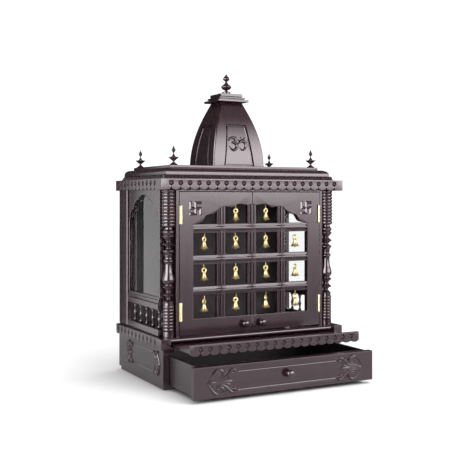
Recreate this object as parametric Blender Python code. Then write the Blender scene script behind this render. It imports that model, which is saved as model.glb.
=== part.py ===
"""Household altar cabinet: a carved home temple with doors, a pull-out tray and a drawer.

Units are metres, +Z is up, -Y is the front and the origin is the centre of the base's underside.
Every piece is one closed solid. The tray and the drawer stand pulled out, the doors are shut.
"""
import math

import bmesh
import bpy
from mathutils import Matrix, Vector

# Clearances
GAP = 0.0003
SLIDE_CLEARANCE = 0.001
DOOR_CLEARANCE = 0.0015

# Body of the cabinet
BODY_WIDTH = 0.597
BODY_DEPTH = 0.360
BASE_HEIGHT = 0.1464
UPPER_HEIGHT = 0.456
ROOF_THICKNESS = 0.0144
BACK_THICKNESS = 0.012

# Base
BASE_SIDE_THICKNESS = 0.020
BOTTOM_THICKNESS = 0.012
BOTTOM_INSET = 0.005
DECK_THICKNESS = 0.0144
RUNNER_WIDTH = 0.014
RUNNER_HEIGHT = 0.0145

# Scalloped boards and their rosettes
SKIRT_HEIGHT = 0.030
SKIRT_THICKNESS = 0.0095
SKIRT_RETURN = 0.030
CORNICE_HEIGHT = 0.032
CORNICE_THICKNESS = 0.011
ROSETTE_PITCH = 0.0292
ROSETTE_RADIUS = 0.008
ROSETTE_RISE = 0.0025
ROSETTE_DROP = 0.0135
SCALLOP_DEPTH = 0.0085
SIDE_FRONT_BLOCK = 0.0458
SIDE_REAR_BLOCK = 0.020
FRONT_END_BLOCK = 0.032

# Pull-out tray
TRAY_PULLED = 0.132
TRAY_DEPTH = 0.330
TRAY_THICKNESS = 0.008
TRAY_SIDE_CLEARANCE = 0.0065
TRAY_DROP = 0.003

# Drawer
DRAWER_PULLED = 0.1727
DRAWER_DEPTH = 0.330
DRAWER_HEIGHT = 0.083
DRAWER_WALL = 0.010
DRAWER_FLOOR = 0.006
DRAWER_FRONT_THICKNESS = 0.018
DRAWER_FRONT_HEIGHT = 0.086
DRAWER_FRONT_LIFT = 0.0104
DRAWER_FRONT_REVEAL = 0.0075
SCROLL_LENGTH = 0.087
SCROLL_HEIGHT = 0.067
SCROLL_THICKNESS = 0.005
SCROLL_END_MARGIN = 0.037
SIDE_SCROLL_FRONT = 0.021
SIDE_SCROLL_REAR = 0.073
SIDE_SCROLL_LENGTH = 0.049
SIDE_SCROLL_LIFT = 0.018
SIDE_SCROLL_THICKNESS = 0.003

# Upper body
POST_WIDTH = 0.070
PANEL_RECESS = 0.006
PANEL_THICKNESS = 0.010
WINDOW_FRONT_STRIP = 0.0045
WINDOW_REAR_STRIP = 0.005
WINDOW_HEAD = 0.0312
WINDOW_ARCH_RISE = 0.0768
WINDOW_LOBE_SHARES = ((0.368, 0.199219), (0.336, 0.360677), (0.296, 0.440104))
GLASS_THICKNESS = 0.003
SILL_HEIGHT = 0.033
SILL_TOP = 0.1113
SILL_NOSE_INSET = 0.0015
SILL_STEP = 0.002
RAIL_HEIGHT = 0.0208
RAIL_THICKNESS = 0.018
BALUSTER_PITCH = 0.048
BALUSTER_MARGIN = 0.0135
BALUSTER_RADIUS = 0.0055
BALUSTER_SIDES = 6

# Columns
COLUMN_RADIUS = 0.0197
COLUMN_INSET = 0.0275
COLUMN_SETBACK = 0.025
COLUMN_SIDES = 8

# Doors and their frame
DOOR_HEAD = 0.0227
DOOR_THICKNESS = 0.018
DOOR_LIFT = 0.0041
DOOR_SETBACK = 0.016
DOOR_MEETING_GAP = 0.002
STILE_WIDTH = 0.044
BOTTOM_RAIL = 0.0445
BAR_WIDTH = 0.0270
BAR_RIB = 0.0110
BAR_DEPTH = 0.007
ARCH_SPRING_DROP = 0.0942
LOWEST_CELL_EXTRA = 0.0013
BAR_SHIFT = 0.00125
BAR_ROWS = 3
VALANCE_LAND = 0.001
FRAME_LIP = 0.0093
FRAME_COLUMN_GAP = 0.0005
FRAME_DEPTH = 0.018
FRAME_POST_DEPTH = 0.0125
ARCH_RISE = 0.059
HINGE_LENGTH = 0.057
HINGE_RADIUS = 0.0034
HINGE_LEAF = 0.0008
HINGE_LEAF_DEPTH = 0.012
HINGE_INSET = 0.0045
HINGE_END_MARGIN = 0.0385
DOOR_KNOB_RADIUS = 0.011
DOOR_KNOB_REACH = 0.020
DOOR_KNOB_INSET = 0.029
DOOR_KNOB_HEIGHT = 0.0215
DRAWER_KNOB_RADIUS = 0.0125
DRAWER_KNOB_REACH = 0.022
DRAWER_KNOB_LIFT = 0.0036
SWASTIK_SIZE = 0.041
SWASTIK_ARM = 0.0088
SWASTIK_THICKNESS = 0.0025
SWASTIK_INSET = 0.050
SWASTIK_DROP = 0.048

# Bells
BELL_CLEARANCE = 0.015
BELL_MOUTH_RADIUS = 0.013
BELL_RING_RADIUS = 0.0056
BELL_WIRE = 0.0019
BELL_RING_SINK = 0.0013
BELL_HANGER_HALF = 0.0006
BELL_SIDES = 6

# Cornice above the scalloped boards
BEAD_COURSE_SIDE_INSET = 0.0085
BEAD_COURSE_FRONT_INSET = 0.012
BEAD_COURSE_HEIGHT = 0.0128
QUARTER_ROUND_STEP = 0.0125
QUARTER_ROUND_HEIGHT = 0.0195
TOP_BOARD_INSET = 0.0355
TOP_BOARD_BACK_INSET = 0.015
TOP_BOARD_THICKNESS = 0.0087

# Dome and its finials
DOME_HALF = 0.0885
DOME_TOP_HALF = 0.036
DOME_HEIGHT = 0.2057
DOME_CENTRE_Y = 0.010
DOME_BULGE = 1.95
DOME_LEVELS = 8
DOME_PANEL_LEVELS = 5
DOME_PANEL_WIDTHS = ((0.054, 0.0354), (0.064, 0.040))
DOME_PANEL_RECESS = 0.003
CAP_HALF = 0.053
CAP_HEIGHT = 0.026
TOP_FINIAL_HEIGHT = 0.067
TOP_FINIAL_RADIUS = 0.0163
CORNER_FINIAL_HEIGHT = 0.0585
CORNER_FINIAL_RADIUS = 0.016
CORNER_FINIAL_INSET = 0.0165
OM_WIDTH = 0.064
OM_HEIGHT = 0.046
OM_THICKNESS = 0.005
OM_LIFT = 0.0487
TURNING_SIDES = 8

# Heights and planes that follow from the sizes above
BODY_HALF = BODY_WIDTH / 2
FRONT = -BODY_DEPTH / 2
BACK = BODY_DEPTH / 2
BASE_INNER = BODY_HALF - BASE_SIDE_THICKNESS
DECK_BOTTOM = BASE_HEIGHT - DECK_THICKNESS
SKIRT_BOTTOM = BASE_HEIGHT - SKIRT_HEIGHT
SKIRT_FACE = BODY_HALF + GAP + SKIRT_THICKNESS
UPPER_FLOOR = BASE_HEIGHT + GAP
ROOF_TOP = BASE_HEIGHT + UPPER_HEIGHT
ROOF_BOTTOM = ROOF_TOP - ROOF_THICKNESS
UPPER_TOP = ROOF_BOTTOM - GAP
CORNICE_FACE = BODY_HALF + GAP + CORNICE_THICKNESS
POST_FACE = BODY_HALF
PANEL_FACE = BODY_HALF - PANEL_RECESS
PANEL_BACK = PANEL_FACE - PANEL_THICKNESS
POST_INNER = PANEL_BACK
DOOR_FACE = FRONT + DOOR_SETBACK
DOOR_BACK = DOOR_FACE + DOOR_THICKNESS
DOOR_BOTTOM = BASE_HEIGHT + DOOR_LIFT
DOOR_TOP = UPPER_TOP - DOOR_HEAD
COLUMN_CENTRE_X = BODY_HALF - COLUMN_INSET
DOOR_HALF_WIDTH = COLUMN_CENTRE_X - COLUMN_RADIUS - FRAME_COLUMN_GAP - FRAME_LIP - DOOR_CLEARANCE
RAIL_TOP = DOOR_BOTTOM + BOTTOM_RAIL
ARCH_SPRING = DOOR_TOP - ARCH_SPRING_DROP
BAR_PITCH = (ARCH_SPRING - RAIL_TOP - LOWEST_CELL_EXTRA) / BAR_ROWS
BELL_LENGTH = BAR_PITCH - BAR_WIDTH - BELL_CLEARANCE
FRAME_INNER = DOOR_HALF_WIDTH + DOOR_CLEARANCE
COLUMN_Y = FRONT + COLUMN_SETBACK
COLUMN_REAR = COLUMN_Y + COLUMN_RADIUS + GAP
FRAME_BACK = DOOR_FACE + FRAME_DEPTH
GLASS_FACE = PANEL_BACK - GAP
GLASS_BACK = GLASS_FACE - GLASS_THICKNESS
PANEL_FRONT = COLUMN_Y + math.sqrt(COLUMN_RADIUS ** 2 - (PANEL_BACK - COLUMN_CENTRE_X) ** 2) + GAP
BEAD_X = BODY_HALF - BEAD_COURSE_SIDE_INSET
BEAD_Y = FRONT + BEAD_COURSE_FRONT_INSET
TOP_BOARD_X = BEAD_X - TOP_BOARD_INSET
TOP_BOARD_FRONT = BEAD_Y + TOP_BOARD_INSET
TOP_BOARD_BACK = BACK - TOP_BOARD_BACK_INSET
HINGE_GAP_MIDDLE = DOOR_HALF_WIDTH + DOOR_CLEARANCE / 2
HINGE_PIN_X = HINGE_GAP_MIDDLE - HINGE_INSET
HINGE_PIN_Y = DOOR_FACE - HINGE_RADIUS - GAP
TRAY_BOARD_TOP = DECK_BOTTOM - TRAY_DROP
TRAY_BOARD_BOTTOM = TRAY_BOARD_TOP - TRAY_THICKNESS
RUNNER_TOP = TRAY_BOARD_BOTTOM - GAP
DRAWER_BOTTOM = BOTTOM_THICKNESS + SLIDE_CLEARANCE
DOME_BASE = ROOF_TOP + GAP + BEAD_COURSE_HEIGHT + QUARTER_ROUND_HEIGHT + TOP_BOARD_THICKNESS + 2 * GAP

# Finishes as colour, roughness and metallic value
MAHOGANY = ((0.055, 0.030, 0.032, 1.0), 0.28, 0.0)
DARK_INSIDE = ((0.010, 0.008, 0.008, 1.0), 0.6, 0.0)
BRASS = ((0.86, 0.66, 0.30, 1.0), 0.22, 1.0)
CLEAR_GLASS = ((0.85, 0.90, 0.90, 1.0), 0.02, 0.0)


def clear_scene():
    """Start from an empty scene."""
    for item in list(bpy.data.objects):
        bpy.data.objects.remove(item, do_unlink=True)


def finish_material(name, finish):
    """A Principled material of one colour, roughness and metallic value."""
    colour, roughness, metallic = finish
    material = bpy.data.materials.new(name)
    material.use_nodes = True
    shader = material.node_tree.nodes["Principled BSDF"]
    shader.inputs["Base Color"].default_value = colour
    shader.inputs["Roughness"].default_value = roughness
    shader.inputs["Metallic"].default_value = metallic
    return material


def piece(name, shape, finish, pivot=(0.0, 0.0, 0.0), parent=None, smooth=False):
    """Make one named object of a bmesh, with its origin on pivot, and free the bmesh."""
    bmesh.ops.recalc_face_normals(shape, faces=shape.faces[:])
    bmesh.ops.translate(shape, verts=shape.verts[:], vec=-Vector(pivot))
    mesh = bpy.data.meshes.new(name)
    shape.to_mesh(mesh)
    shape.free()
    if smooth:
        mesh.shade_smooth()
        mesh.set_sharp_from_angle(angle=math.radians(40))
    mesh.materials.append(finish_material(name + "_finish", finish))
    item = bpy.data.objects.new(name, mesh)
    bpy.context.collection.objects.link(item)
    item.location = Vector(pivot)
    if parent is not None:
        item.parent = parent
        item.location = Vector(pivot) - parent.location
    return item


def axis_empty(name, place):
    """An empty that stands on a joint's axis."""
    empty = bpy.data.objects.new(name, None)
    bpy.context.collection.objects.link(empty)
    empty.location = place
    return empty


def mirrored(shape):
    """The same shape on the other side of the cabinet's middle plane."""
    bmesh.ops.scale(shape, verts=shape.verts[:], vec=(-1.0, 1.0, 1.0))
    bmesh.ops.reverse_faces(shape, faces=shape.faces[:])
    return shape


def fused(*shapes):
    """One closed shape from shapes that cross each other, by an exact union."""
    items = []
    for shape in shapes:
        bmesh.ops.recalc_face_normals(shape, faces=shape.faces[:])
        mesh = bpy.data.meshes.new("fusing")
        shape.to_mesh(mesh)
        shape.free()
        item = bpy.data.objects.new("fusing", mesh)
        bpy.context.collection.objects.link(item)
        items.append(item)
    for other in items[1:]:
        modifier = items[0].modifiers.new("union", "BOOLEAN")
        modifier.operation = "UNION"
        modifier.solver = "EXACT"
        modifier.object = other
    depsgraph = bpy.context.evaluated_depsgraph_get()
    mesh = bpy.data.meshes.new_from_object(items[0].evaluated_get(depsgraph))
    shape = bmesh.new()
    shape.from_mesh(mesh)
    bpy.data.meshes.remove(mesh)
    for item in items:
        bpy.data.objects.remove(item, do_unlink=True)
    return shape


def box(x_low, x_high, y_low, y_high, z_low, z_high):
    """A plain board between two corners."""
    shape = bmesh.new()
    bmesh.ops.create_cube(shape, size=1.0)
    bmesh.ops.scale(shape, verts=shape.verts[:], vec=(x_high - x_low, y_high - y_low, z_high - z_low))
    middle = ((x_low + x_high) / 2, (y_low + y_high) / 2, (z_low + z_high) / 2)
    bmesh.ops.translate(shape, verts=shape.verts[:], vec=middle)
    return shape


def in_space(across, u, v, w):
    """Point of a board's drawing: w runs through the board along the axis named across."""
    if across == "X":
        return (w, u, v)
    if across == "Y":
        return (u, w, v)
    return (u, v, w)


def ring_of(shape, across, points, w):
    """Closed ring of vertices for one outline of a drawing."""
    return [shape.verts.new(in_space(across, u, v, w)) for u, v in points]


def ring_edges(shape, ring):
    """Edges round a closed ring."""
    return [shape.edges.new((ring[i - 1], ring[i])) for i in range(len(ring))]


def filled(shape, edges):
    """Faces that fill outlines, leaving the inner ones open."""
    made = bmesh.ops.triangle_fill(shape, use_beauty=True, use_dissolve=False, edges=edges)
    return [item for item in made["geom"] if isinstance(item, bmesh.types.BMFace)]


def skin(shape, ring_a, ring_b):
    """Quads between two rings with the same number of vertices."""
    for i in range(len(ring_a)):
        shape.faces.new((ring_a[i - 1], ring_a[i], ring_b[i], ring_b[i - 1]))


def slab(outline, holes, across, start, end):
    """A board cut to an outline, with holes straight through it."""
    shape = bmesh.new()
    edges = []
    for points in (outline, *holes):
        edges += ring_edges(shape, ring_of(shape, across, points, start))
    faces = filled(shape, edges)
    grown = bmesh.ops.extrude_face_region(shape, geom=faces)
    moved = [item for item in grown["geom"] if isinstance(item, bmesh.types.BMVert)]
    bmesh.ops.translate(shape, verts=moved, vec=in_space(across, 0.0, 0.0, end - start))
    return shape


def turned(profile, sides, turn=0.0):
    """A lathe turning about Z from (radius, height) points that start and end on the axis."""
    shape = bmesh.new()
    verts = [shape.verts.new((radius, 0.0, height)) for radius, height in profile]
    edges = [shape.edges.new(pair) for pair in zip(verts, verts[1:])]
    bmesh.ops.spin(shape, geom=verts + edges, cent=(0, 0, 0), axis=(0, 0, 1),
                   dvec=(0, 0, 0), angle=2 * math.pi, steps=sides, use_merge=True)
    bmesh.ops.remove_doubles(shape, verts=shape.verts[:], dist=1e-5)
    bmesh.ops.rotate(shape, verts=shape.verts[:], cent=(0, 0, 0), matrix=Matrix.Rotation(turn, 3, "Z"))
    return shape


def moved_to(shape, place, matrix=None):
    """Turn a shape about the origin, if a matrix is given, and move it to its place."""
    if matrix is not None:
        bmesh.ops.rotate(shape, verts=shape.verts[:], cent=(0, 0, 0), matrix=matrix)
    bmesh.ops.translate(shape, verts=shape.verts[:], vec=place)
    return shape


def rosette_places(low, high, blocks):
    """Evenly spaced rosettes between plain end blocks, at a pitch close to the usual one."""
    length = high - low - blocks[0] - blocks[1]
    count = max(1, round(length / ROSETTE_PITCH))
    return [low + blocks[0] + length * i / count for i in range(count + 1)]


def scalloped_outline(low, high, bottom, top, notches, round_ends):
    """Board outline with a scallop between each pair of notches along its lower edge."""
    notch_top = bottom + SCALLOP_DEPTH
    if round_ends:
        stops = [low] + notches + [high]
        points = [(high, top), (low, top), (low, notch_top)]
    else:
        stops = notches
        points = [(high, top), (low, top), (low, bottom)]
        points += [(notches[0] - SCALLOP_DEPTH / 2, bottom), (notches[0], notch_top)]
    for left, right in zip(stops, stops[1:]):
        middle = (left + right) / 2
        half = (right - left) / 2
        for step in (1, 2, 3):
            angle = math.pi * step / 4
            points.append((middle - half * math.cos(angle), notch_top - SCALLOP_DEPTH * math.sin(angle)))
        points.append((right, notch_top))
    if not round_ends:
        points += [(notches[-1] + SCALLOP_DEPTH / 2, bottom), (high, bottom)]
    return points


def carved_board(low, high, bottom, top, across, face, back, blocks, round_ends=False):
    """A scalloped board with a raised rosette above each notch, flat on its back."""
    outward = 1.0 if face > back else -1.0
    places = rosette_places(low, high, blocks)
    outline = scalloped_outline(low, high, bottom, top, places, round_ends)
    shape = bmesh.new()
    edges = ring_edges(shape, ring_of(shape, across, outline, face))
    centre_height = top - ROSETTE_DROP
    rings = []
    for place in places:
        petals = []
        for corner in range(6):
            angle = math.pi * corner / 3
            petals.append((place + ROSETTE_RADIUS * math.cos(angle),
                           centre_height + ROSETTE_RADIUS * math.sin(angle)))
        ring = ring_of(shape, across, petals, face)
        edges += ring_edges(shape, ring)
        rings.append((ring, place))
    faces = filled(shape, edges)
    for ring, place in rings:
        tip = shape.verts.new(in_space(across, place, centre_height, face + outward * ROSETTE_RISE))
        faces += [shape.faces.new((ring[i - 1], ring[i], tip)) for i in range(len(ring))]
    grown = bmesh.ops.extrude_face_region(shape, geom=faces)
    depth = {"X": 0, "Y": 1, "Z": 2}[across]
    for item in grown["geom"]:
        if isinstance(item, bmesh.types.BMVert):
            item.co[depth] = back
    flat = [item for item in grown["geom"] if isinstance(item, bmesh.types.BMFace)]
    bmesh.ops.dissolve_faces(shape, faces=flat)
    return shape


def corner_rings(shape, levels):
    """Square rings (half width, height), skinned and closed at both ends."""
    rings = []
    for half, height in levels:
        corners = ((-half, -half), (half, -half), (half, half), (-half, half))
        rings.append(ring_of(shape, "Z", corners, height))
    shape.faces.new(rings[0])
    shape.faces.new(rings[-1])
    for lower, upper in zip(rings, rings[1:]):
        skin(shape, lower, upper)
    return shape


def scroll_outline(start, sign, middle, length, height):
    """Outline of a scroll ornament that points away from its start, mirrored about its middle line."""
    half = ((0.0, 0.0), (0.16, 0.48), (0.36, 0.98), (0.50, 0.80), (0.62, 0.72), (0.74, 0.98), (0.90, 0.94),
            (0.84, 0.72), (0.70, 0.48), (0.62, 0.26), (0.74, 0.06))
    upper = [(start + sign * along * length, rise * height / 2) for along, rise in half]
    whole = upper + [(along, -rise) for along, rise in reversed(upper[1:])]
    return [(along, middle + rise) for along, rise in whole]


def build_base():
    """Carcass, deck and scalloped skirts of the base."""
    inset = BODY_HALF - BOTTOM_INSET
    piece("base_bottom_board", box(-inset, inset, FRONT + BOTTOM_INSET, BACK - BOTTOM_INSET,
                                   0.0, BOTTOM_THICKNESS), MAHOGANY)
    low = BOTTOM_THICKNESS + GAP
    high = DECK_BOTTOM - GAP
    ledge = BASE_INNER - RUNNER_WIDTH
    for side, turn in (("left", mirrored), ("right", lambda shape: shape)):
        board = box(BASE_INNER, BODY_HALF, FRONT, BACK, low, high)
        runner = box(ledge, BASE_INNER + GAP, FRONT, BACK - BACK_THICKNESS - GAP,
                     RUNNER_TOP - RUNNER_HEIGHT, RUNNER_TOP)
        middle = DRAWER_FRONT_LIFT + DRAWER_FRONT_HEIGHT / 2 + SIDE_SCROLL_LIFT
        carving = []
        for start, sign in ((FRONT + SIDE_SCROLL_FRONT, 1.0), (BACK - SIDE_SCROLL_REAR, -1.0)):
            outline = scroll_outline(start, sign, middle, SIDE_SCROLL_LENGTH, SCROLL_HEIGHT)
            carving.append(slab(outline, [], "X", BODY_HALF - GAP, BODY_HALF + SIDE_SCROLL_THICKNESS))
        piece("base_side_" + side, turn(fused(board, runner, *carving)), MAHOGANY)
    inner = BASE_INNER - GAP
    piece("base_back_panel", box(-inner, inner, BACK - BACK_THICKNESS, BACK, low, high), MAHOGANY)
    nose = DECK_THICKNESS / 2
    edge = [(BACK, DECK_BOTTOM), (BACK, BASE_HEIGHT)]
    for step in range(5):
        angle = math.pi / 2 + math.pi * step / 4
        edge.append((FRONT + nose + nose * math.cos(angle), DECK_BOTTOM + nose + nose * math.sin(angle)))
    piece("deck_board", slab(edge, [], "X", -BODY_HALF, BODY_HALF), MAHOGANY, smooth=True)
    block_back = FRONT - GAP
    block_front = block_back - SKIRT_THICKNESS
    for side, turn in (("left", mirrored), ("right", lambda shape: shape)):
        board = carved_board(block_front, BACK, SKIRT_BOTTOM, BASE_HEIGHT, "X",
                             SKIRT_FACE, BODY_HALF + GAP, (SIDE_FRONT_BLOCK, SIDE_REAR_BLOCK))
        block = box(SKIRT_FACE - SKIRT_RETURN, BODY_HALF + 2 * GAP, block_front, block_back,
                    SKIRT_BOTTOM, BASE_HEIGHT)
        piece("skirt_" + side, turn(fused(board, block)), MAHOGANY)


def knob_shape(radius, reach):
    """A turned wooden knob that points along -Y, its foot at the origin."""
    profile = [(0.0, 0.0), (radius * 0.55, 0.0), (radius * 0.40, reach * 0.30), (radius, reach * 0.62),
               (radius * 0.80, reach * 0.90), (0.0, reach)]
    return moved_to(turned(profile, TURNING_SIDES), (0, 0, 0), Matrix.Rotation(math.radians(90), 3, "X"))


def build_tray():
    """Pull-out tray board behind its scalloped fascia."""
    face = FRONT - GAP - SKIRT_THICKNESS - TRAY_PULLED
    back = face + SKIRT_THICKNESS
    empty = axis_empty("tray_slide_axis", (0.0, face, (TRAY_BOARD_TOP + TRAY_BOARD_BOTTOM) / 2))
    half = SKIRT_FACE - SKIRT_RETURN - SLIDE_CLEARANCE / 2
    fascia = carved_board(-half, half, SKIRT_BOTTOM, BASE_HEIGHT, "Y", face, back,
                          (ROSETTE_PITCH, ROSETTE_PITCH), True)
    piece("tray_fascia", fascia, MAHOGANY, empty.location, empty)
    side = BASE_INNER - TRAY_SIDE_CLEARANCE
    board = box(-side, side, back + GAP, back + TRAY_DEPTH, TRAY_BOARD_BOTTOM, TRAY_BOARD_TOP)
    piece("tray_board", board, MAHOGANY, empty.location, empty)


def build_drawer():
    """Open drawer box, its front with knob and two scroll ornaments."""
    face = FRONT - GAP - DRAWER_FRONT_THICKNESS - DRAWER_PULLED
    back = face + DRAWER_FRONT_THICKNESS
    front_top = DRAWER_FRONT_LIFT + DRAWER_FRONT_HEIGHT
    middle = DRAWER_FRONT_LIFT + DRAWER_FRONT_HEIGHT / 2
    empty = axis_empty("drawer_slide_axis", (0.0, face, middle))
    half = BODY_HALF - DRAWER_FRONT_REVEAL
    piece("drawer_front", box(-half, half, face, back, DRAWER_FRONT_LIFT, front_top),
          MAHOGANY, empty.location, empty)
    outer = BASE_INNER - SLIDE_CLEARANCE
    inner = outer - DRAWER_WALL
    near = back + GAP
    far = near + DRAWER_DEPTH
    top = DRAWER_BOTTOM + DRAWER_HEIGHT
    floor = DRAWER_BOTTOM + DRAWER_FLOOR
    shape = bmesh.new()
    outside = [(-outer, near), (outer, near), (outer, far), (-outer, far)]
    inside = [(-inner, near + DRAWER_WALL), (inner, near + DRAWER_WALL),
              (inner, far - DRAWER_WALL), (-inner, far - DRAWER_WALL)]
    rings = [ring_of(shape, "Z", outside, DRAWER_BOTTOM), ring_of(shape, "Z", outside, top),
             ring_of(shape, "Z", inside, top), ring_of(shape, "Z", inside, floor)]
    for lower, upper in zip(rings, rings[1:]):
        skin(shape, lower, upper)
    shape.faces.new(rings[0])
    shape.faces.new(rings[-1])
    piece("drawer_box", shape, DARK_INSIDE, empty.location, empty)
    knob_at = (0.0, face - GAP, middle + DRAWER_KNOB_LIFT)
    knob = moved_to(knob_shape(DRAWER_KNOB_RADIUS, DRAWER_KNOB_REACH), knob_at)
    piece("drawer_knob", knob, MAHOGANY, empty.location, empty, smooth=True)
    for side, sign in (("left", 1.0), ("right", -1.0)):
        start = -sign * (half - SCROLL_END_MARGIN)
        outline = scroll_outline(start, sign, middle, SCROLL_LENGTH, SCROLL_HEIGHT)
        ornament = slab(outline, [], "Y", face - GAP, face - GAP - SCROLL_THICKNESS)
        piece("drawer_scroll_" + side, ornament, MAHOGANY, empty.location, empty)


def window_curve(front, rear):
    """Cusped arch of a side window, from its rear springing over the apex to the front one."""
    centre = (front + rear) / 2
    half = (rear - front) / 2
    curve = []
    reach = 0.0
    height = UPPER_TOP - WINDOW_HEAD
    for share, drop in WINDOW_LOBE_SHARES:
        rise = drop * WINDOW_ARCH_RISE
        for step in range(4):
            angle = math.pi / 2 * step / 3
            curve.append((reach + share * half * math.sin(angle), height - rise + rise * math.cos(angle)))
        reach += share * half
        height -= rise
    rear_side = [(centre + across, up) for across, up in reversed(curve)]
    front_side = [(centre - across, up) for across, up in curve[1:]]
    return rear_side + front_side


def baluster_places(front, rear):
    """Evenly spaced balusters from the column back, as many as fit before the post."""
    places = []
    place = front + BALUSTER_MARGIN
    while place + BALUSTER_RADIUS < rear:
        places.append(place)
        place += BALUSTER_PITCH
    return places


def build_side(side, turn):
    """One side of the upper body: rear post with arched panel, glass, and sill over balusters."""
    post_front = BACK - POST_WIDTH
    sill_top = UPPER_FLOOR + SILL_TOP
    foot = sill_top + GAP
    join = post_front + GAP
    window = (PANEL_FRONT + WINDOW_FRONT_STRIP, post_front - WINDOW_REAR_STRIP)
    outline = [(PANEL_FRONT, UPPER_TOP), (join, UPPER_TOP), (join, foot), (window[1], foot)]
    outline += window_curve(*window) + [(window[0], foot), (PANEL_FRONT, foot)]
    panel = slab(outline, [], "X", PANEL_FACE, PANEL_BACK)
    post = box(POST_INNER, POST_FACE, post_front, BACK, UPPER_FLOOR, UPPER_TOP)
    piece("side_frame_" + side, turn(fused(post, panel)), MAHOGANY)
    glass = box(GLASS_BACK, GLASS_FACE, COLUMN_REAR, BACK - BACK_THICKNESS - GAP, foot, UPPER_TOP)
    piece("side_glass_" + side, turn(glass), CLEAR_GLASS)
    sill_bottom = sill_top - SILL_HEIGHT
    far = post_front - GAP
    middle = GLASS_BACK + BALUSTER_RADIUS
    nose = POST_FACE - SILL_NOSE_INSET
    neck = nose - SILL_STEP
    section = [(GLASS_BACK, sill_bottom), (nose, sill_bottom), (nose, sill_bottom + SILL_HEIGHT * 0.45),
               (neck, sill_bottom + SILL_HEIGHT * 0.52), (neck, sill_bottom + SILL_HEIGHT * 0.82),
               (PANEL_FACE, sill_top), (GLASS_BACK, sill_top)]
    sill = slab(section, [], "Y", COLUMN_REAR, far)
    rail_top = UPPER_FLOOR + RAIL_HEIGHT
    rail = box(GLASS_BACK, GLASS_BACK + RAIL_THICKNESS, COLUMN_REAR, far, UPPER_FLOOR, rail_top)
    height = sill_bottom - rail_top + 2 * GAP
    balusters = []
    for place in baluster_places(COLUMN_REAR, far):
        profile = [(0.0, 0.0), (0.90, 0.0), (0.45, 0.22), (1.0, 0.48), (0.40, 0.70), (0.95, 0.86),
                   (0.90, 1.0), (0.0, 1.0)]
        scaled = [(share * BALUSTER_RADIUS, rise * height) for share, rise in profile]
        shape = turned(scaled, BALUSTER_SIDES)
        balusters.append(moved_to(shape, (middle, place, rail_top - GAP)))
    piece("side_balustrade_" + side, turn(fused(sill, rail, *balusters)), MAHOGANY, smooth=True)


def column_profile(bottom, top):
    """Turned column as (radius, height): lower rings, vase and flanges, upper rings."""
    full = COLUMN_RADIUS
    slim = full * 0.84
    height = top - bottom
    points = [(0.0, 0.0), (slim * 0.98, 0.0), (slim * 0.98, 0.0385)]
    for ring in range(8):
        low = 0.0415 + ring * 0.0216
        points += [(slim * 0.88, low), (slim, low + 0.0108)]
    points += [(slim * 0.80, 0.2215), (slim * 0.94, 0.2290), (0.30 * full, 0.2525), (0.86 * full, 0.2745),
               (0.40 * full, 0.3010), (0.86 * full, 0.3280), (0.58 * full, 0.3420), (0.90 * full, 0.3730),
               (0.78 * full, 0.4060), (0.58 * full, 0.4470), (0.57 * full, 0.4880), (0.76 * full, 0.4980),
               (0.57 * full, 0.5080), (0.62 * full, 0.5450), (0.88 * full, 0.5640), (0.40 * full, 0.5830),
               (0.90 * full, 0.6040), (0.39 * full, 0.6290), (0.66 * full, 0.6440), (0.90 * full, 0.6600),
               (0.70 * full, 0.6680), (0.90 * full, 0.6870), (0.58 * full, 0.7150)]
    for ring in range(11):
        low = 0.7230 + ring * 0.0222
        points += [(full, low + 0.0111), (full * 0.89, low + 0.0222)]
    points += [(full * 0.89, 1.0), (0.0, 1.0)]
    return [(radius, bottom + share * height) for radius, share in points]


def build_upper_body():
    """Back panel, roof, sides and the two turned columns."""
    half = POST_INNER - GAP
    piece("back_panel", box(-half, half, BACK - BACK_THICKNESS, BACK, UPPER_FLOOR, UPPER_TOP), MAHOGANY)
    piece("roof_board", box(-BODY_HALF, BODY_HALF, FRONT, BACK, ROOF_BOTTOM, ROOF_TOP), MAHOGANY)
    for side, turn in (("left", mirrored), ("right", lambda shape: shape)):
        build_side(side, turn)
        column = turned(column_profile(UPPER_FLOOR, UPPER_TOP), COLUMN_SIDES, math.pi / COLUMN_SIDES)
        moved_to(column, (COLUMN_CENTRE_X, COLUMN_Y, 0.0))
        piece("column_" + side, turn(column), MAHOGANY, smooth=True)


def valance_curve():
    """Lower edge of the carved valance from the seam outwards: three lobes between cusps.

    Each point is a share of the width from the seam to the stile and of the arch's rise.
    """
    return ((0.0, 1.0), (0.048, 0.932), (0.12, 0.955), (0.209, 0.993), (0.263, 0.966), (0.311, 0.864),
            (0.337, 0.797), (0.429, 0.854), (0.490, 0.869), (0.566, 0.78), (0.612, 0.636), (0.663, 0.483),
            (0.765, 0.454), (0.801, 0.373), (0.837, 0.178), (0.908, 0.051), (1.0, 0.0))


def valance_height(share):
    """Height of the valance's lower edge at a share of the width, between its points."""
    curve = valance_curve()
    for (near, low), (far, high) in zip(curve, curve[1:]):
        if near <= share <= far:
            return low + (high - low) * (share - near) / (far - near)
    return curve[-1][1]


def door_rows():
    """Bottom and top of each row of openings below the arched row."""
    rows = []
    foot = RAIL_TOP
    for row in range(BAR_ROWS):
        bar_top = ARCH_SPRING - (BAR_ROWS - 1 - row) * BAR_PITCH
        rows.append((foot, bar_top - BAR_WIDTH))
        foot = bar_top
    return rows


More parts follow.
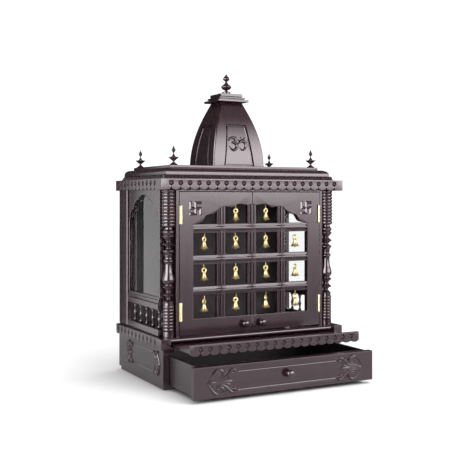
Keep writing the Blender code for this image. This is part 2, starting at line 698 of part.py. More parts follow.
def door_openings():
    """Openings of the right-hand door as pairs of outlines, on its face and at the foot of the bevels."""
    stile = DOOR_HALF_WIDTH - STILE_WIDTH
    bevel = (BAR_WIDTH - BAR_RIB) / 2
    middle = (BAR_WIDTH / 2 + stile) / 2 - BAR_SHIFT
    columns = ((BAR_WIDTH / 2, middle - BAR_WIDTH / 2, bevel), (middle + BAR_WIDTH / 2, stile, 0.0))
    rows = door_rows()
    pairs = []
    for low_x, high_x, high_bevel in columns:
        front_low = low_x - bevel
        front_high = high_x + high_bevel
        for row, (low_z, high_z) in enumerate(rows):
            under = bevel if row else 0.0
            back = [(low_x, low_z), (high_x, low_z), (high_x, high_z), (low_x, high_z)]
            front = [(front_low, low_z - under), (front_high, low_z - under),
                     (front_high, high_z + bevel), (front_low, high_z + bevel)]
            pairs.append((front, back))
        inside = [share for share, _ in valance_curve() if low_x < share * stile < high_x]
        shares = [low_x / stile] + inside + [high_x / stile]
        top = [(share * stile, ARCH_SPRING + ARCH_RISE * valance_height(share)) for share in shares]
        top = [point for point in top if point[1] > ARCH_SPRING + VALANCE_LAND]
        outer = top[-1][0]
        back = [(outer, ARCH_SPRING), (low_x, ARCH_SPRING)] + top
        under = ARCH_SPRING - bevel
        front = [(outer, under), (front_low, under), (front_low, top[0][1])] + top[1:]
        pairs.append((front, back))
    return pairs


def door_shape():
    """Right-hand door leaf: flat stile and rail, carved valance and bevelled glazing bars."""
    seam = DOOR_MEETING_GAP / 2
    edge = DOOR_HALF_WIDTH
    outline = [(seam, DOOR_BOTTOM), (edge, DOOR_BOTTOM), (edge, DOOR_TOP), (seam, DOOR_TOP)]
    shape = bmesh.new()
    face_ring = ring_of(shape, "Y", outline, DOOR_FACE)
    back_ring = ring_of(shape, "Y", outline, DOOR_BACK)
    face_edges = ring_edges(shape, face_ring)
    back_edges = ring_edges(shape, back_ring)
    skin(shape, face_ring, back_ring)
    for front, back in door_openings():
        rings = [ring_of(shape, "Y", front, DOOR_FACE), ring_of(shape, "Y", back, DOOR_FACE + BAR_DEPTH),
                 ring_of(shape, "Y", back, DOOR_BACK)]
        face_edges += ring_edges(shape, rings[0])
        back_edges += ring_edges(shape, rings[2])
        skin(shape, rings[0], rings[1])
        skin(shape, rings[1], rings[2])
    filled(shape, face_edges)
    filled(shape, back_edges)
    return shape


def quarter_turn(number):
    """Whole-number cosine and sine of a number of right angles."""
    return round(math.cos(number * math.pi / 2)), round(math.sin(number * math.pi / 2))


def swastik_outline(centre_x, centre_z):
    """Traditional right-facing swastik: four equal arms, each bent clockwise."""
    half = SWASTIK_SIZE / 2
    bar = SWASTIK_ARM / 2
    arm = [(-bar, bar), (-bar, half), (half, half), (half, half - SWASTIK_ARM), (bar, half - SWASTIK_ARM)]
    points = []
    for turn in range(4):
        cosine, sine = quarter_turn(turn)
        points += [(centre_x + x * cosine + z * sine, centre_z - x * sine + z * cosine) for x, z in arm]
    return points


def bell_shape():
    """Small hanging bell with its ring and wire, from its hanging point down."""
    mouth = BELL_MOUTH_RADIUS
    drop = -BELL_LENGTH
    cup_top = 0.5 * drop
    ring_height = cup_top + BELL_RING_RADIUS + BELL_WIRE - BELL_RING_SINK
    profile = [(0.0, 0.500), (0.46, 0.570), (0.60, 0.770), (1.0, 0.930), (0.12, 0.660), (0.19, 0.955),
               (0.0, 1.0)]
    cup = turned([(share * mouth, rise * drop) for share, rise in profile], BELL_SIDES)
    ring = bmesh.new()
    sections = []
    for step in range(BELL_SIDES):
        angle = math.pi / 2 + 2 * math.pi * step / BELL_SIDES
        section = []
        for corner in range(3):
            around = 2 * math.pi * corner / 3
            reach = BELL_RING_RADIUS + BELL_WIRE * math.cos(around)
            section.append(ring.verts.new((reach * math.cos(angle), BELL_WIRE * math.sin(around),
                                           reach * math.sin(angle))))
        sections.append(section)
    for number in range(BELL_SIDES):
        skin(ring, sections[number - 1], sections[number])
    moved_to(ring, (0.0, 0.0, ring_height))
    wire_top = -GAP
    wire_bottom = ring_height + BELL_RING_RADIUS - BELL_WIRE / 2
    half = BELL_HANGER_HALF
    wire = box(-half, half, -half, half, wire_bottom, wire_top)
    return fused(cup, ring, wire)


def bell_places():
    """Hanging points of the right-hand door's bells: row from the top, column from the seam, place."""
    hang_y = DOOR_FACE + BAR_DEPTH + (DOOR_THICKNESS - BAR_DEPTH) / 2
    stile = DOOR_HALF_WIDTH - STILE_WIDTH
    rows = door_rows()
    places = []
    for number, (_, back) in enumerate(door_openings()):
        column, row = divmod(number, BAR_ROWS + 1)
        centre = (min(x for x, _ in back) + max(x for x, _ in back)) / 2
        if row < BAR_ROWS:
            places.append((BAR_ROWS + 1 - row, column, Vector((centre, hang_y, rows[row][1]))))
        elif column == 0:
            top = ARCH_SPRING + ARCH_RISE * valance_height(centre / stile)
            places.append((1, column, Vector((centre, hang_y, top))))
    return places


def hinge_shape(pin_height):
    """Butt hinge: the barrel stands in front of the door's edge, the bent leaf runs into the gap."""
    barrel = bmesh.new()
    bmesh.ops.create_cone(barrel, cap_ends=True, segments=8, radius1=HINGE_RADIUS,
                          radius2=HINGE_RADIUS, depth=HINGE_LENGTH)
    moved_to(barrel, (HINGE_PIN_X, HINGE_PIN_Y, pin_height))
    foot = pin_height - HINGE_LENGTH / 2 + GAP
    head = pin_height + HINGE_LENGTH / 2 - GAP
    leaf_front = DOOR_FACE - GAP - HINGE_LEAF
    near = HINGE_GAP_MIDDLE - HINGE_LEAF / 2
    far = near + HINGE_LEAF
    plan = [(HINGE_PIN_X, leaf_front), (far, leaf_front), (far, DOOR_FACE + HINGE_LEAF_DEPTH),
            (near, DOOR_FACE + HINGE_LEAF_DEPTH), (near, DOOR_FACE - GAP), (HINGE_PIN_X, DOOR_FACE - GAP)]
    return fused(barrel, slab(plan, [], "Z", foot, head))


def build_doors():
    """Door frame, two hinged doors with knobs, swastiks and bells, and four hinges."""
    post_inner = GLASS_BACK - GAP
    lip = FRAME_INNER + FRAME_LIP
    plan = [(FRAME_INNER, DOOR_FACE), (lip, DOOR_FACE), (lip, COLUMN_REAR), (post_inner, COLUMN_REAR),
            (post_inner, COLUMN_REAR + FRAME_POST_DEPTH), (FRAME_INNER, COLUMN_REAR + FRAME_POST_DEPTH)]
    right = slab(plan, [], "Z", UPPER_FLOOR, UPPER_TOP)
    left = mirrored(slab(plan, [], "Z", UPPER_FLOOR, UPPER_TOP))
    head = box(-FRAME_INNER - GAP, FRAME_INNER + GAP, DOOR_FACE, FRAME_BACK,
               DOOR_TOP + DOOR_CLEARANCE, UPPER_TOP)
    piece("door_frame", fused(right, left, head), MAHOGANY)
    bell = bell_shape()
    for side, sign in (("left", -1.0), ("right", 1.0)):
        turn = mirrored if sign < 0 else (lambda shape: shape)
        pin = (sign * HINGE_PIN_X, HINGE_PIN_Y, DOOR_BOTTOM)
        door = piece("door_" + side, turn(door_shape()), MAHOGANY, pin)
        knob_at = (sign * DOOR_KNOB_INSET, DOOR_FACE - GAP, DOOR_BOTTOM + DOOR_KNOB_HEIGHT)
        knob = moved_to(knob_shape(DOOR_KNOB_RADIUS, DOOR_KNOB_REACH), knob_at)
        piece("door_knob_" + side, knob, MAHOGANY, pin, door, smooth=True)
        outline = swastik_outline(sign * (DOOR_HALF_WIDTH - SWASTIK_INSET), DOOR_TOP - SWASTIK_DROP)
        sign_shape = slab(outline, [], "Y", DOOR_FACE - GAP, DOOR_FACE - GAP - SWASTIK_THICKNESS)
        piece("swastik_" + side, sign_shape, MAHOGANY, pin, door)
        for row, column, place in bell_places():
            number = 2 - column if sign < 0 else column + 3
            copy = moved_to(bell.copy(), (sign * place.x, place.y, place.z))
            piece("bell_row%d_column%d" % (row, number), copy, BRASS, pin, door, smooth=True)
        for level, height in (("lower", DOOR_BOTTOM + HINGE_END_MARGIN + HINGE_LENGTH / 2),
                              ("upper", DOOR_TOP - HINGE_END_MARGIN - HINGE_LENGTH / 2)):
            piece("hinge_%s_%s" % (side, level), turn(hinge_shape(height)), BRASS)
    bell.free()


def crown_rings(shape, levels):
    """Rings (inset from the bead course's foot, height) that stand back on three sides, flush behind."""
    rings = []
    for inset, height in levels:
        half = BEAD_X - inset
        corners = ((-half, BEAD_Y + inset), (half, BEAD_Y + inset), (half, BACK), (-half, BACK))
        rings.append(ring_of(shape, "Z", corners, height))
    shape.faces.new(rings[0])
    shape.faces.new(rings[-1])
    for lower, upper in zip(rings, rings[1:]):
        skin(shape, lower, upper)
    return shape


def build_cornice():
    """Scalloped cornice boards, the moulding with its bead course, and the top board."""
    bottom = ROOF_TOP - CORNICE_HEIGHT
    face = FRONT - GAP - CORNICE_THICKNESS
    front = carved_board(-CORNICE_FACE, CORNICE_FACE, bottom, ROOF_TOP, "Y", face, FRONT - GAP,
                         (FRONT_END_BLOCK, FRONT_END_BLOCK))
    overlap = CORNICE_THICKNESS / 2
    boards = [front]
    for turn in (mirrored, lambda shape: shape):
        blocks = (SIDE_FRONT_BLOCK - overlap, SIDE_REAR_BLOCK)
        board = carved_board(face + overlap, BACK, bottom, ROOF_TOP, "X",
                             CORNICE_FACE, BODY_HALF + GAP, blocks)
        boards.append(turn(board))
    piece("cornice_boards", fused(*boards), MAHOGANY)
    low = ROOF_TOP + GAP
    step = low + BEAD_COURSE_HEIGHT
    high = step + QUARTER_ROUND_HEIGHT
    drop = TOP_BOARD_INSET - QUARTER_ROUND_STEP
    levels = [(0.0, low), (0.0, low + BEAD_COURSE_HEIGHT * 0.25),
              (QUARTER_ROUND_STEP, low + BEAD_COURSE_HEIGHT * 0.95),
              (QUARTER_ROUND_STEP, step + QUARTER_ROUND_HEIGHT / 2)]
    for number in range(1, 5):
        angle = math.pi / 2 * number / 4
        levels.append((QUARTER_ROUND_STEP + drop * (1 - math.cos(angle)),
                       step + QUARTER_ROUND_HEIGHT / 2 * (1 + math.sin(angle))))
    piece("cornice_moulding", crown_rings(bmesh.new(), levels), MAHOGANY)
    foot = high + GAP
    board = box(-TOP_BOARD_X, TOP_BOARD_X, TOP_BOARD_FRONT, TOP_BOARD_BACK, foot, foot + TOP_BOARD_THICKNESS)
    piece("cornice_top_board", board, MAHOGANY)


def dome_half(share):
    """Half width of the dome at a share of its height."""
    return DOME_HALF - (DOME_HALF - DOME_TOP_HALF) * share ** DOME_BULGE


def dome_panel_half(share, side_face):
    """Half width of a face's recessed panel at a share of the dome's height."""
    foot, head = DOME_PANEL_WIDTHS[side_face]
    reach = min(share * DOME_LEVELS / DOME_PANEL_LEVELS, 1.0)
    return min(foot + (head - foot) * reach, 0.85 * dome_half(share))


def dome_shape():
    """Four-sided curved spire with a recessed panel on each face."""
    shape = bmesh.new()
    rings = []
    for level in range(DOME_LEVELS + 1):
        share = level / DOME_LEVELS
        half = dome_half(share)
        points = []
        for turn in range(4):
            cosine, sine = quarter_turn(turn)
            panel = dome_panel_half(share, turn % 2)
            for along in (-half, -panel, panel):
                points.append((along * cosine + half * sine, along * sine - half * cosine))
        rings.append(ring_of(shape, "Z", points, share * DOME_HEIGHT))
    panels = [[] for _ in range(4)]
    for level, (lower, upper) in enumerate(zip(rings, rings[1:])):
        for i in range(12):
            j = (i + 1) % 12
            face = shape.faces.new((lower[i], lower[j], upper[j], upper[i]))
            if i % 3 == 1 and level < DOME_PANEL_LEVELS:
                panels[i // 3].append(face)
    shape.faces.new(rings[-1])
    shape.normal_update()
    for faces in panels:
        bmesh.ops.inset_region(shape, faces=faces, use_boundary=False, use_even_offset=True,
                               thickness=DOME_PANEL_RECESS / 3, depth=-DOME_PANEL_RECESS)
    foot = [edge for edge in shape.edges if edge.is_boundary]
    for edge in foot:
        for vert in edge.verts:
            vert.co.z = 0.0
    bmesh.ops.holes_fill(shape, edges=foot, sides=0)
    return shape


def om_strokes():
    """Centre lines of the om ornament's strokes in shares of its half width and height."""
    three = [(-0.95, 0.52), (-0.62, 0.82), (-0.22, 0.62), (-0.40, 0.22), (-0.70, 0.12)]
    lower = [(-0.52, 0.14), (-0.16, -0.08), (-0.16, -0.55), (-0.52, -0.84), (-0.96, -0.50)]
    tail = [(-0.25, 0.04), (0.12, 0.16), (0.40, 0.42), (0.78, 0.30), (0.88, -0.30), (0.58, -0.70),
            (0.26, -0.42)]
    crescent = [(0.02, 0.72), (0.32, 0.60), (0.62, 0.72), (0.84, 0.94)]
    link = [(0.30, 0.66), (0.24, 0.24)]
    return (three, lower, tail, crescent, link)


def stroke_outline(points, half_width):
    """Outline of a pen stroke of even width along a centre line."""
    left = []
    right = []
    for number, point in enumerate(points):
        before = Vector(points[max(number - 1, 0)])
        after = Vector(points[min(number + 1, len(points) - 1)])
        along = (after - before).normalized()
        side = Vector((-along.y, along.x)) * half_width
        left.append((point[0] + side.x, point[1] + side.y))
        right.append((point[0] - side.x, point[1] - side.y))
    return left + right[::-1]


def om_shape():
    """Raised om ornament, bent to the dome's front panel."""
    width = OM_WIDTH / 2
    height = OM_HEIGHT / 2
    strokes = []
    for points in om_strokes():
        scaled = [(x * width, z * height) for x, z in points]
        strokes.append(slab(stroke_outline(scaled, OM_HEIGHT * 0.055), [], "Y", 0.0, -OM_THICKNESS))
    shape = fused(*strokes)
    for vert in shape.verts:
        share = (vert.co.z + OM_LIFT + height) / DOME_HEIGHT
        vert.co.y -= dome_half(share) - DOME_PANEL_RECESS + 2 * GAP
    return moved_to(shape, (0.0, DOME_CENTRE_Y, DOME_BASE + OM_LIFT + height))


def finial_profile(points, height, radius):
    """Turned finial from shares of its radius and height."""
    return [(share * radius, rise * height) for share, rise in points]


def build_dome():
    """Dome with om ornament and stepped cap, top finial and four corner finials."""
    piece("dome", moved_to(dome_shape(), (0.0, DOME_CENTRE_Y, DOME_BASE)), MAHOGANY)
    piece("om_ornament", om_shape(), MAHOGANY)
    cap_base = DOME_BASE + DOME_HEIGHT + GAP
    steps = ((1.0, 0.0), (1.0, 0.26), (0.78, 0.28), (0.78, 0.38), (0.85, 0.40), (0.85, 0.56), (0.66, 0.58),
             (0.66, 0.64), (0.726, 0.66), (0.726, 1.0))
    levels = [(share * CAP_HALF, cap_base + rise * CAP_HEIGHT) for share, rise in steps]
    cap = corner_rings(bmesh.new(), levels)
    moved_to(cap, (0.0, DOME_CENTRE_Y, 0.0))
    piece("dome_cap", cap, MAHOGANY)
    top = ((0.0, 0.0), (0.82, 0.0), (0.82, 0.12), (0.24, 0.18), (0.62, 0.25), (1.0, 0.363), (0.62, 0.48),
           (0.19, 0.61), (0.63, 0.745), (0.40, 0.87), (0.0, 1.0))
    finial = turned(finial_profile(top, TOP_FINIAL_HEIGHT, TOP_FINIAL_RADIUS), TURNING_SIDES)
    moved_to(finial, (0.0, DOME_CENTRE_Y, cap_base + CAP_HEIGHT + GAP))
    piece("dome_finial", finial, MAHOGANY, smooth=True)
    corner = ((0.0, 0.0), (0.76, 0.0), (0.46, 0.08), (0.16, 0.15), (0.25, 0.205), (1.0, 0.37), (0.42, 0.41),
              (0.11, 0.60), (0.38, 0.735), (0.0, 1.0))
    reach = TOP_BOARD_X - CORNER_FINIAL_INSET
    near = TOP_BOARD_FRONT + CORNER_FINIAL_INSET
    far = TOP_BOARD_BACK - CORNER_FINIAL_INSET
    for name, side, place_y in (("front_left", -1, near), ("front_right", 1, near), ("back_left", -1, far),
                                ("back_right", 1, far)):
        shape = turned(finial_profile(corner, CORNER_FINIAL_HEIGHT, CORNER_FINIAL_RADIUS), TURNING_SIDES)
        moved_to(shape, (side * reach, place_y, DOME_BASE))
        piece("corner_finial_" + name, shape, MAHOGANY, smooth=True)


def build():
    """Build the whole cabinet from the floor up."""
    clear_scene()
    build_base()
    build_drawer()
    build_tray()
    build_upper_body()
    build_doors()
    build_cornice()
    build_dome()


build()
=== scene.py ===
"""Looks of the household altar cabinet: fine woodwork, brass, glass, finishes and studio."""
import logging
import math
from collections.abc import Iterable, Sequence
from dataclasses import dataclass
from enum import Enum

import bmesh
import bpy
from mathutils import Matrix, Vector


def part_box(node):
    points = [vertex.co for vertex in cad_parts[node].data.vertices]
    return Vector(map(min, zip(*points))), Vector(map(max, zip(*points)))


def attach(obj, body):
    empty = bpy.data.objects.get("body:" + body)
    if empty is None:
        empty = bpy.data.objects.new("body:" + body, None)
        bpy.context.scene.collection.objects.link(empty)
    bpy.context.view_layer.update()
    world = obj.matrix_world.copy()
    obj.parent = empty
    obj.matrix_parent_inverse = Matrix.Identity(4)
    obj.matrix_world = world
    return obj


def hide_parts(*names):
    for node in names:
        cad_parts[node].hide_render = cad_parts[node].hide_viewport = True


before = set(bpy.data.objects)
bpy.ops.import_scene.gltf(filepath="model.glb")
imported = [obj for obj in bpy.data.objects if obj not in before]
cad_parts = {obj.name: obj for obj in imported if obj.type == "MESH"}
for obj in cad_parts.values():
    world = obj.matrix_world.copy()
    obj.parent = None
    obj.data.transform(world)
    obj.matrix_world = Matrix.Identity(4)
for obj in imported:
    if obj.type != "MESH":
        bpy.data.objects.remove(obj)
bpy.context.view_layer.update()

LOG = logging.getLogger("altar_cabinet")
Point = tuple[float, float]
Place = tuple[float, float, float]
Colour = tuple[float, float, float]
GAP = 0.0003  # room between two pieces that touch
TOUCH = 1e-5  # points that are nearer count as one


class Slot(Enum):
    """Material slots of the record."""

    MAHOGANY = "mahogany"
    INNER = "inner_wood"
    BELL = "bell_brass"
    HINGE = "hinge_brass"
    GLASS = "window_glass"


class Body(Enum):
    """Bodies of the record."""

    CABINET = "cabinet"
    DOOR_LEFT = "door_left"
    DOOR_RIGHT = "door_right"
    TRAY = "tray"
    DRAWER = "drawer"


class Grain(Enum):
    """Axis that the wood grain runs along."""

    ACROSS = "X"
    DEEP = "Y"
    UP = "Z"


class Side(Enum):
    """Side of the cabinet, seen from the front."""

    LEFT = -1.0
    RIGHT = 1.0

    @property
    def word(self) -> str:
        """Name of the side in lower case."""
        return self.name.lower()


# Finishes


class Graph:
    """Node graph of a material or of the world."""

    def __init__(self, tree: bpy.types.NodeTree) -> None:
        """Start on a node tree.

        Args:
            tree: Tree that gets the nodes.
        """
        self.tree = tree

    def feed(self, node: bpy.types.Node, **values: bpy.types.NodeSocket | Sequence[float] | float) -> None:
        """Set or link the inputs of a node.

        Args:
            node: Node to feed.
            values: Value or output for each input, its name with underscores for spaces.
        """
        for word, value in values.items():
            socket = node.inputs[word.replace("_", " ")]
            if isinstance(value, bpy.types.NodeSocket):
                self.tree.links.new(value, socket)
            else:
                socket.default_value = value

    def add(self, kind: str, **values: bpy.types.NodeSocket | Sequence[float] | float) -> bpy.types.Node:
        """Add a node and feed it.

        Args:
            kind: Type of the node without its prefix.
            values: Value or output for each input, its name with underscores for spaces.

        Returns:
            The new node.
        """
        node = self.tree.nodes.new("ShaderNode" + kind)
        self.feed(node, **values)
        return node

    def ramp(self, share: bpy.types.NodeSocket,
             stops: Iterable[tuple[float, Colour]]) -> bpy.types.NodeSocket:
        """Add a colour ramp.

        Args:
            share: Value that the ramp reads.
            stops: Place and colour of each stop, in order.

        Returns:
            The ramp's colour.
        """
        node = self.add("ValToRGB", Fac=share)
        elements = node.color_ramp.elements
        for number, (place, colour) in enumerate(stops):
            element = elements[number] if number < 2 else elements.new(place)
            element.position = place
            element.color = (*colour, 1.0)
        return node.outputs["Color"]


@dataclass(frozen=True)
class Finish:
    """Finish of a piece, made once as a node material."""

    name: str

    def material(self) -> bpy.types.Material:
        """Make the material at its first use.

        Returns:
            The finish as a Blender material.
        """
        made = bpy.data.materials.get(self.name)
        if made is None:
            made = bpy.data.materials.new(self.name)
            made.use_nodes = True
            self.dress(Graph(made.node_tree), made.node_tree.nodes["Principled BSDF"])
        return made

    def dress(self, graph: Graph, shader: bpy.types.Node) -> None:
        """Set the finish on the shader of a new material.

        Args:
            graph: Node graph of the material.
            shader: Its shader.
        """
        raise NotImplementedError


@dataclass(frozen=True)
class Varnish(Finish):
    """Stained mahogany under a semi-gloss varnish."""

    grain: Grain
    dark: Colour = (0.0150, 0.0058, 0.0082)
    light: Colour = (0.0350, 0.0135, 0.0182)
    tint: Colour = (1.0, 0.93, 0.97)
    roughness: float = 0.17
    grain_scale: float = 90.0
    stretch: float = 0.07
    pore_depth: float = 0.00006

    def dress(self, graph: Graph, shader: bpy.types.Node) -> None:
        """Stretched figure in two tones, uneven gloss and open pores.

        Args:
            graph: Node graph of the material.
            shader: Its shader.
        """
        place = graph.add("TexCoord").outputs["Object"]
        squeeze = [self.grain_scale] * 3
        squeeze["XYZ".index(self.grain.value)] *= self.stretch
        turn = graph.add("Mapping", Scale=squeeze, Vector=place)
        figure = graph.add("TexNoise", Vector=turn.outputs["Vector"], Scale=1.0, Detail=6.0, Roughness=0.62,
                           Distortion=0.6).outputs["Fac"]
        haze = graph.add("TexNoise", Vector=place, Scale=7.0, Detail=3.0).outputs["Fac"]
        gloss = graph.add("MapRange", Value=haze, To_Min=self.roughness - 0.03,
                          To_Max=self.roughness + 0.04)
        relief = graph.add("Bump", Height=figure, Strength=0.35, Distance=self.pore_depth)
        graph.feed(shader, IOR=1.5, Specular_IOR_Level=0.9, Specular_Tint=(*self.tint, 1.0),
                   Base_Color=graph.ramp(figure, ((0.32, self.dark), (0.70, self.light))),
                   Roughness=gloss.outputs["Result"], Normal=relief.outputs["Normal"])


@dataclass(frozen=True)
class Brass(Finish):
    """Polished or lacquered brass with faint handling marks."""

    colour: Colour = (0.72, 0.57, 0.28)
    tarnish: Colour = (0.42, 0.29, 0.10)
    roughness: float = 0.27

    def dress(self, graph: Graph, shader: bpy.types.Node) -> None:
        """Metal with spots of tarnish.

        Args:
            graph: Node graph of the material.
            shader: Its shader.
        """
        place = graph.add("TexCoord").outputs["Object"]
        marks = graph.add("TexNoise", Vector=place, Scale=240.0, Detail=4.0).outputs["Fac"]
        wear = graph.add("MapRange", Value=marks, To_Min=self.roughness, To_Max=self.roughness + 0.12)
        graph.feed(shader, Metallic=1.0, Roughness=wear.outputs["Result"],
                   Base_Color=graph.ramp(marks, ((0.25, self.tarnish), (0.52, self.colour))))


@dataclass(frozen=True)
class Pane(Finish):
    """Clear window glass with a faint unevenness."""

    def dress(self, graph: Graph, shader: bpy.types.Node) -> None:
        """Smooth see-through glass.

        Args:
            graph: Node graph of the material.
            shader: Its shader.
        """
        wave = graph.add("TexNoise", Vector=graph.add("TexCoord").outputs["Object"], Scale=5.0)
        relief = graph.add("Bump", Height=wave.outputs["Fac"], Strength=0.05, Distance=0.0002)
        graph.feed(shader, Base_Color=(0.93, 0.96, 0.95, 1.0), Roughness=0.0, IOR=1.5,
                   Transmission_Weight=1.0, Normal=relief.outputs["Normal"])


@dataclass(frozen=True)
class Paint(Finish):
    """Matt grey paint of the studio floor."""

    tone: float

    def dress(self, graph: Graph, shader: bpy.types.Node) -> None:
        """Flat grey without gloss.

        Args:
            graph: Node graph of the material.
            shader: Its shader.
        """
        graph.feed(shader, Base_Color=(self.tone, self.tone, self.tone, 1.0), Roughness=0.9,
                   Specular_IOR_Level=0.0)


@dataclass(frozen=True)
class Glow(Finish):
    """Evenly glowing face of a studio card."""

    strength: float

    def dress(self, graph: Graph, shader: bpy.types.Node) -> None:
        """Light alone, in place of the shader.

        Args:
            graph: Node graph of the material.
            shader: Shader that is taken out.
        """
        graph.tree.nodes.remove(shader)
        glow = graph.add("Emission", Strength=self.strength)
        graph.feed(graph.tree.nodes["Material Output"], Surface=glow.outputs["Emission"])


WOOD_UP = Varnish("mahogany_grain_up", Grain.UP)
WOOD_ACROSS = Varnish("mahogany_grain_across", Grain.ACROSS)
WOOD_DEEP = Varnish("mahogany_grain_deep", Grain.DEEP)
CARVED = Varnish("mahogany_carved", Grain.ACROSS, roughness=0.19)
TURNED = Varnish("mahogany_turned", Grain.UP, roughness=0.15)
# Drawer box finish darker than the other wood: painted shade standing in for the dark inside of the drawer.
DRAWER_PAINTED_SHADE = Varnish("drawer_box_painted_shade", Grain.ACROSS, dark=(0.0060, 0.0040, 0.0042),
                 light=(0.0130, 0.0082, 0.0086), roughness=0.38)
# Back panel finish darker and duller than the other wood: painted shade for the dim inside of the cabinet.
BACKING_PAINTED_SHADE = Varnish("mahogany_backing_painted_shade", Grain.UP, dark=(0.008, 0.0032, 0.0042), light=(0.017, 0.0066, 0.0088),
                  roughness=0.60)
BELL_BRASS = Brass("bell_brass_polished")
HINGE_BRASS = Brass("hinge_brass_lacquered", colour=(0.66, 0.58, 0.38), tarnish=(0.50, 0.41, 0.23),
                    roughness=0.32)
WINDOW = Pane("window_glass_clear")


# Modelling helpers

TO_SIDE = Matrix.Rotation(math.pi / 2, 3, "Z")  # turns a board that faces -Y to face +X
TO_FRONT = Matrix.Rotation(math.pi / 2, 3, "X")  # turns what stands up to point along -Y


def place_piece(name: str, shape: bmesh.types.BMesh, finish: Finish, node: str, body: Body = Body.CABINET,
                crease: float = 32.0) -> None:
    """Turn a shape into a finished piece that rides on a body.

    Args:
        name: Name of the piece.
        shape: Closed shape in the frame's place; it is freed here.
        finish: Finish that dresses the piece.
        node: Name of the CAD node that the piece stands for.
        body: Body that carries the piece.
        crease: Angle in degrees above which an edge stays sharp.
    """
    bmesh.ops.recalc_face_normals(shape, faces=shape.faces[:])
    mesh = bpy.data.meshes.new(name)
    shape.to_mesh(mesh)
    shape.free()
    mesh.shade_smooth()
    mesh.set_sharp_from_angle(angle=math.radians(crease))
    mesh.materials.append(finish.material())
    piece = bpy.data.objects.new(name, mesh)
    bpy.context.collection.objects.link(piece)
    shading = piece.modifiers.new("even_shading", "WEIGHTED_NORMAL")
    shading.keep_sharp = True
    shading.weight = 90
    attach(piece, body.value)
    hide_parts(node)
    LOG.info("%s: %d faces on %s", name, len(mesh.polygons), body.value)


def joined(*shapes: bmesh.types.BMesh) -> bmesh.types.BMesh:
    """Gather several shapes in one.

    Args:
        shapes: Shapes to gather; each is freed.

    Returns:
        One shape that holds them all.
    """
    whole = bmesh.new()
    for shape in shapes:
        mesh = bpy.data.meshes.new("gathering")
        shape.to_mesh(mesh)
        shape.free()
        whole.from_mesh(mesh)
        bpy.data.meshes.remove(mesh)
    return whole


def moved(shape: bmesh.types.BMesh, place: Place, turn: Matrix | None = None) -> bmesh.types.BMesh:
    """Turn a shape about the origin and carry it to its place.

    Args:
        shape: Shape to move.
        place: Where its origin goes.
        turn: Rotation applied first, if any.

    Returns:
        The same shape.
    """
    if turn is not None:
        bmesh.ops.rotate(shape, verts=shape.verts[:], cent=(0, 0, 0), matrix=turn)
    bmesh.ops.translate(shape, verts=shape.verts[:], vec=place)
    return shape


def on_side(shape: bmesh.types.BMesh, side: Side) -> bmesh.types.BMesh:
    """Mirror a shape made for the right side when it is for the left one.

    Args:
        shape: Shape made for the right side.
        side: Side it is for.

    Returns:
        The same shape.
    """
    bmesh.ops.scale(shape, verts=shape.verts[:], vec=(side.value, 1.0, 1.0))
    return shape


def smooth_path(points: list[Point], steps: int = 5) -> list[Point]:
    """Draw a smooth curve through points.

    Args:
        points: Points that the curve passes through.
        steps: Stretches between two points.

    Returns:
        Points along the curve, ends included.
    """
    path = []
    last = len(points) - 1
    for number in range(last):
        before, start = Vector(points[max(number - 1, 0)]), Vector(points[number])
        end, after = Vector(points[number + 1]), Vector(points[min(number + 2, last)])
        for step in range(steps):
            t = step / steps
            point = (2 * start + (end - before) * t + (2 * before - 5 * start + 4 * end - after) * t ** 2
                     + (3 * start - before - 3 * end + after) * t ** 3) / 2
            path.append((point.x, point.y))
    path.append(points[-1])
    return path


def outline_edges(shape: bmesh.types.BMesh, points: list[Point]) -> list[bmesh.types.BMEdge]:
    """Draw a closed outline in the XZ plane.

    Args:
        shape: Shape that gets the outline.
        points: Corners in order.

    Returns:
        The outline's edges.
    """
    verts = [shape.verts.new((x, 0.0, z)) for x, z in points]
    return [shape.edges.new((verts[i - 1], verts[i])) for i in range(len(verts))]


def eased_slab(outline: list[Point], thickness: float, ease: float = 0.0008, steps: int = 2,
               holes: tuple[list[Point], ...] = ()) -> bmesh.types.BMesh:
    """Cut a board to an outline in the XZ plane and round its front edges.

    Args:
        outline: Corners of the board.
        thickness: Thickness of the board, from its face at y 0 to the back.
        ease: Radius of the rounded front edges.
        steps: Stretches of the rounding.
        holes: Outlines of holes through the board.

    Returns:
        The board, its face towards -Y.
    """
    shape = bmesh.new()
    edges = outline_edges(shape, outline)
    for hole in holes:
        edges += outline_edges(shape, hole)
    bmesh.ops.triangle_fill(shape, use_beauty=True, edges=edges)
    front = shape.faces[:]
    grown = bmesh.ops.extrude_face_region(shape, geom=front, use_keep_orig=True)
    back = [item for item in grown["geom"] if isinstance(item, bmesh.types.BMVert)]
    bmesh.ops.translate(shape, verts=back, vec=(0.0, thickness, 0.0))
    bmesh.ops.translate(shape, verts=list({vert for face in front for vert in face.verts}),
                        vec=(0.0, ease, 0.0))
    bmesh.ops.recalc_face_normals(shape, faces=shape.faces[:])
    for step in range(steps):
        near = math.pi / 2 * step / steps
        far = math.pi / 2 * (step + 1) / steps
        bmesh.ops.inset_region(shape, faces=front, use_boundary=True, use_even_offset=not holes,
                               thickness=ease * (math.cos(near) - math.cos(far)),
                               depth=ease * (math.sin(far) - math.sin(near)))
    return shape


def block(low: Vector, high: Vector, ease: float = 0.0008, steps: int = 2) -> bmesh.types.BMesh:
    """Make a plain board with eased edges.

    Args:
        low: Lowest corner.
        high: Highest corner.
        ease: Radius of its edges.
        steps: Stretches of the rounding.

    Returns:
        The board.
    """
    shape = bmesh.new()
    bmesh.ops.create_cube(shape, size=1.0)
    bmesh.ops.scale(shape, verts=shape.verts[:], vec=Vector(high) - Vector(low))
    bmesh.ops.translate(shape, verts=shape.verts[:], vec=(Vector(high) + Vector(low)) / 2)
    bmesh.ops.bevel(shape, geom=shape.edges[:], affect="EDGES", offset=ease, segments=steps, profile=0.5,
                    material=-1)
    return shape


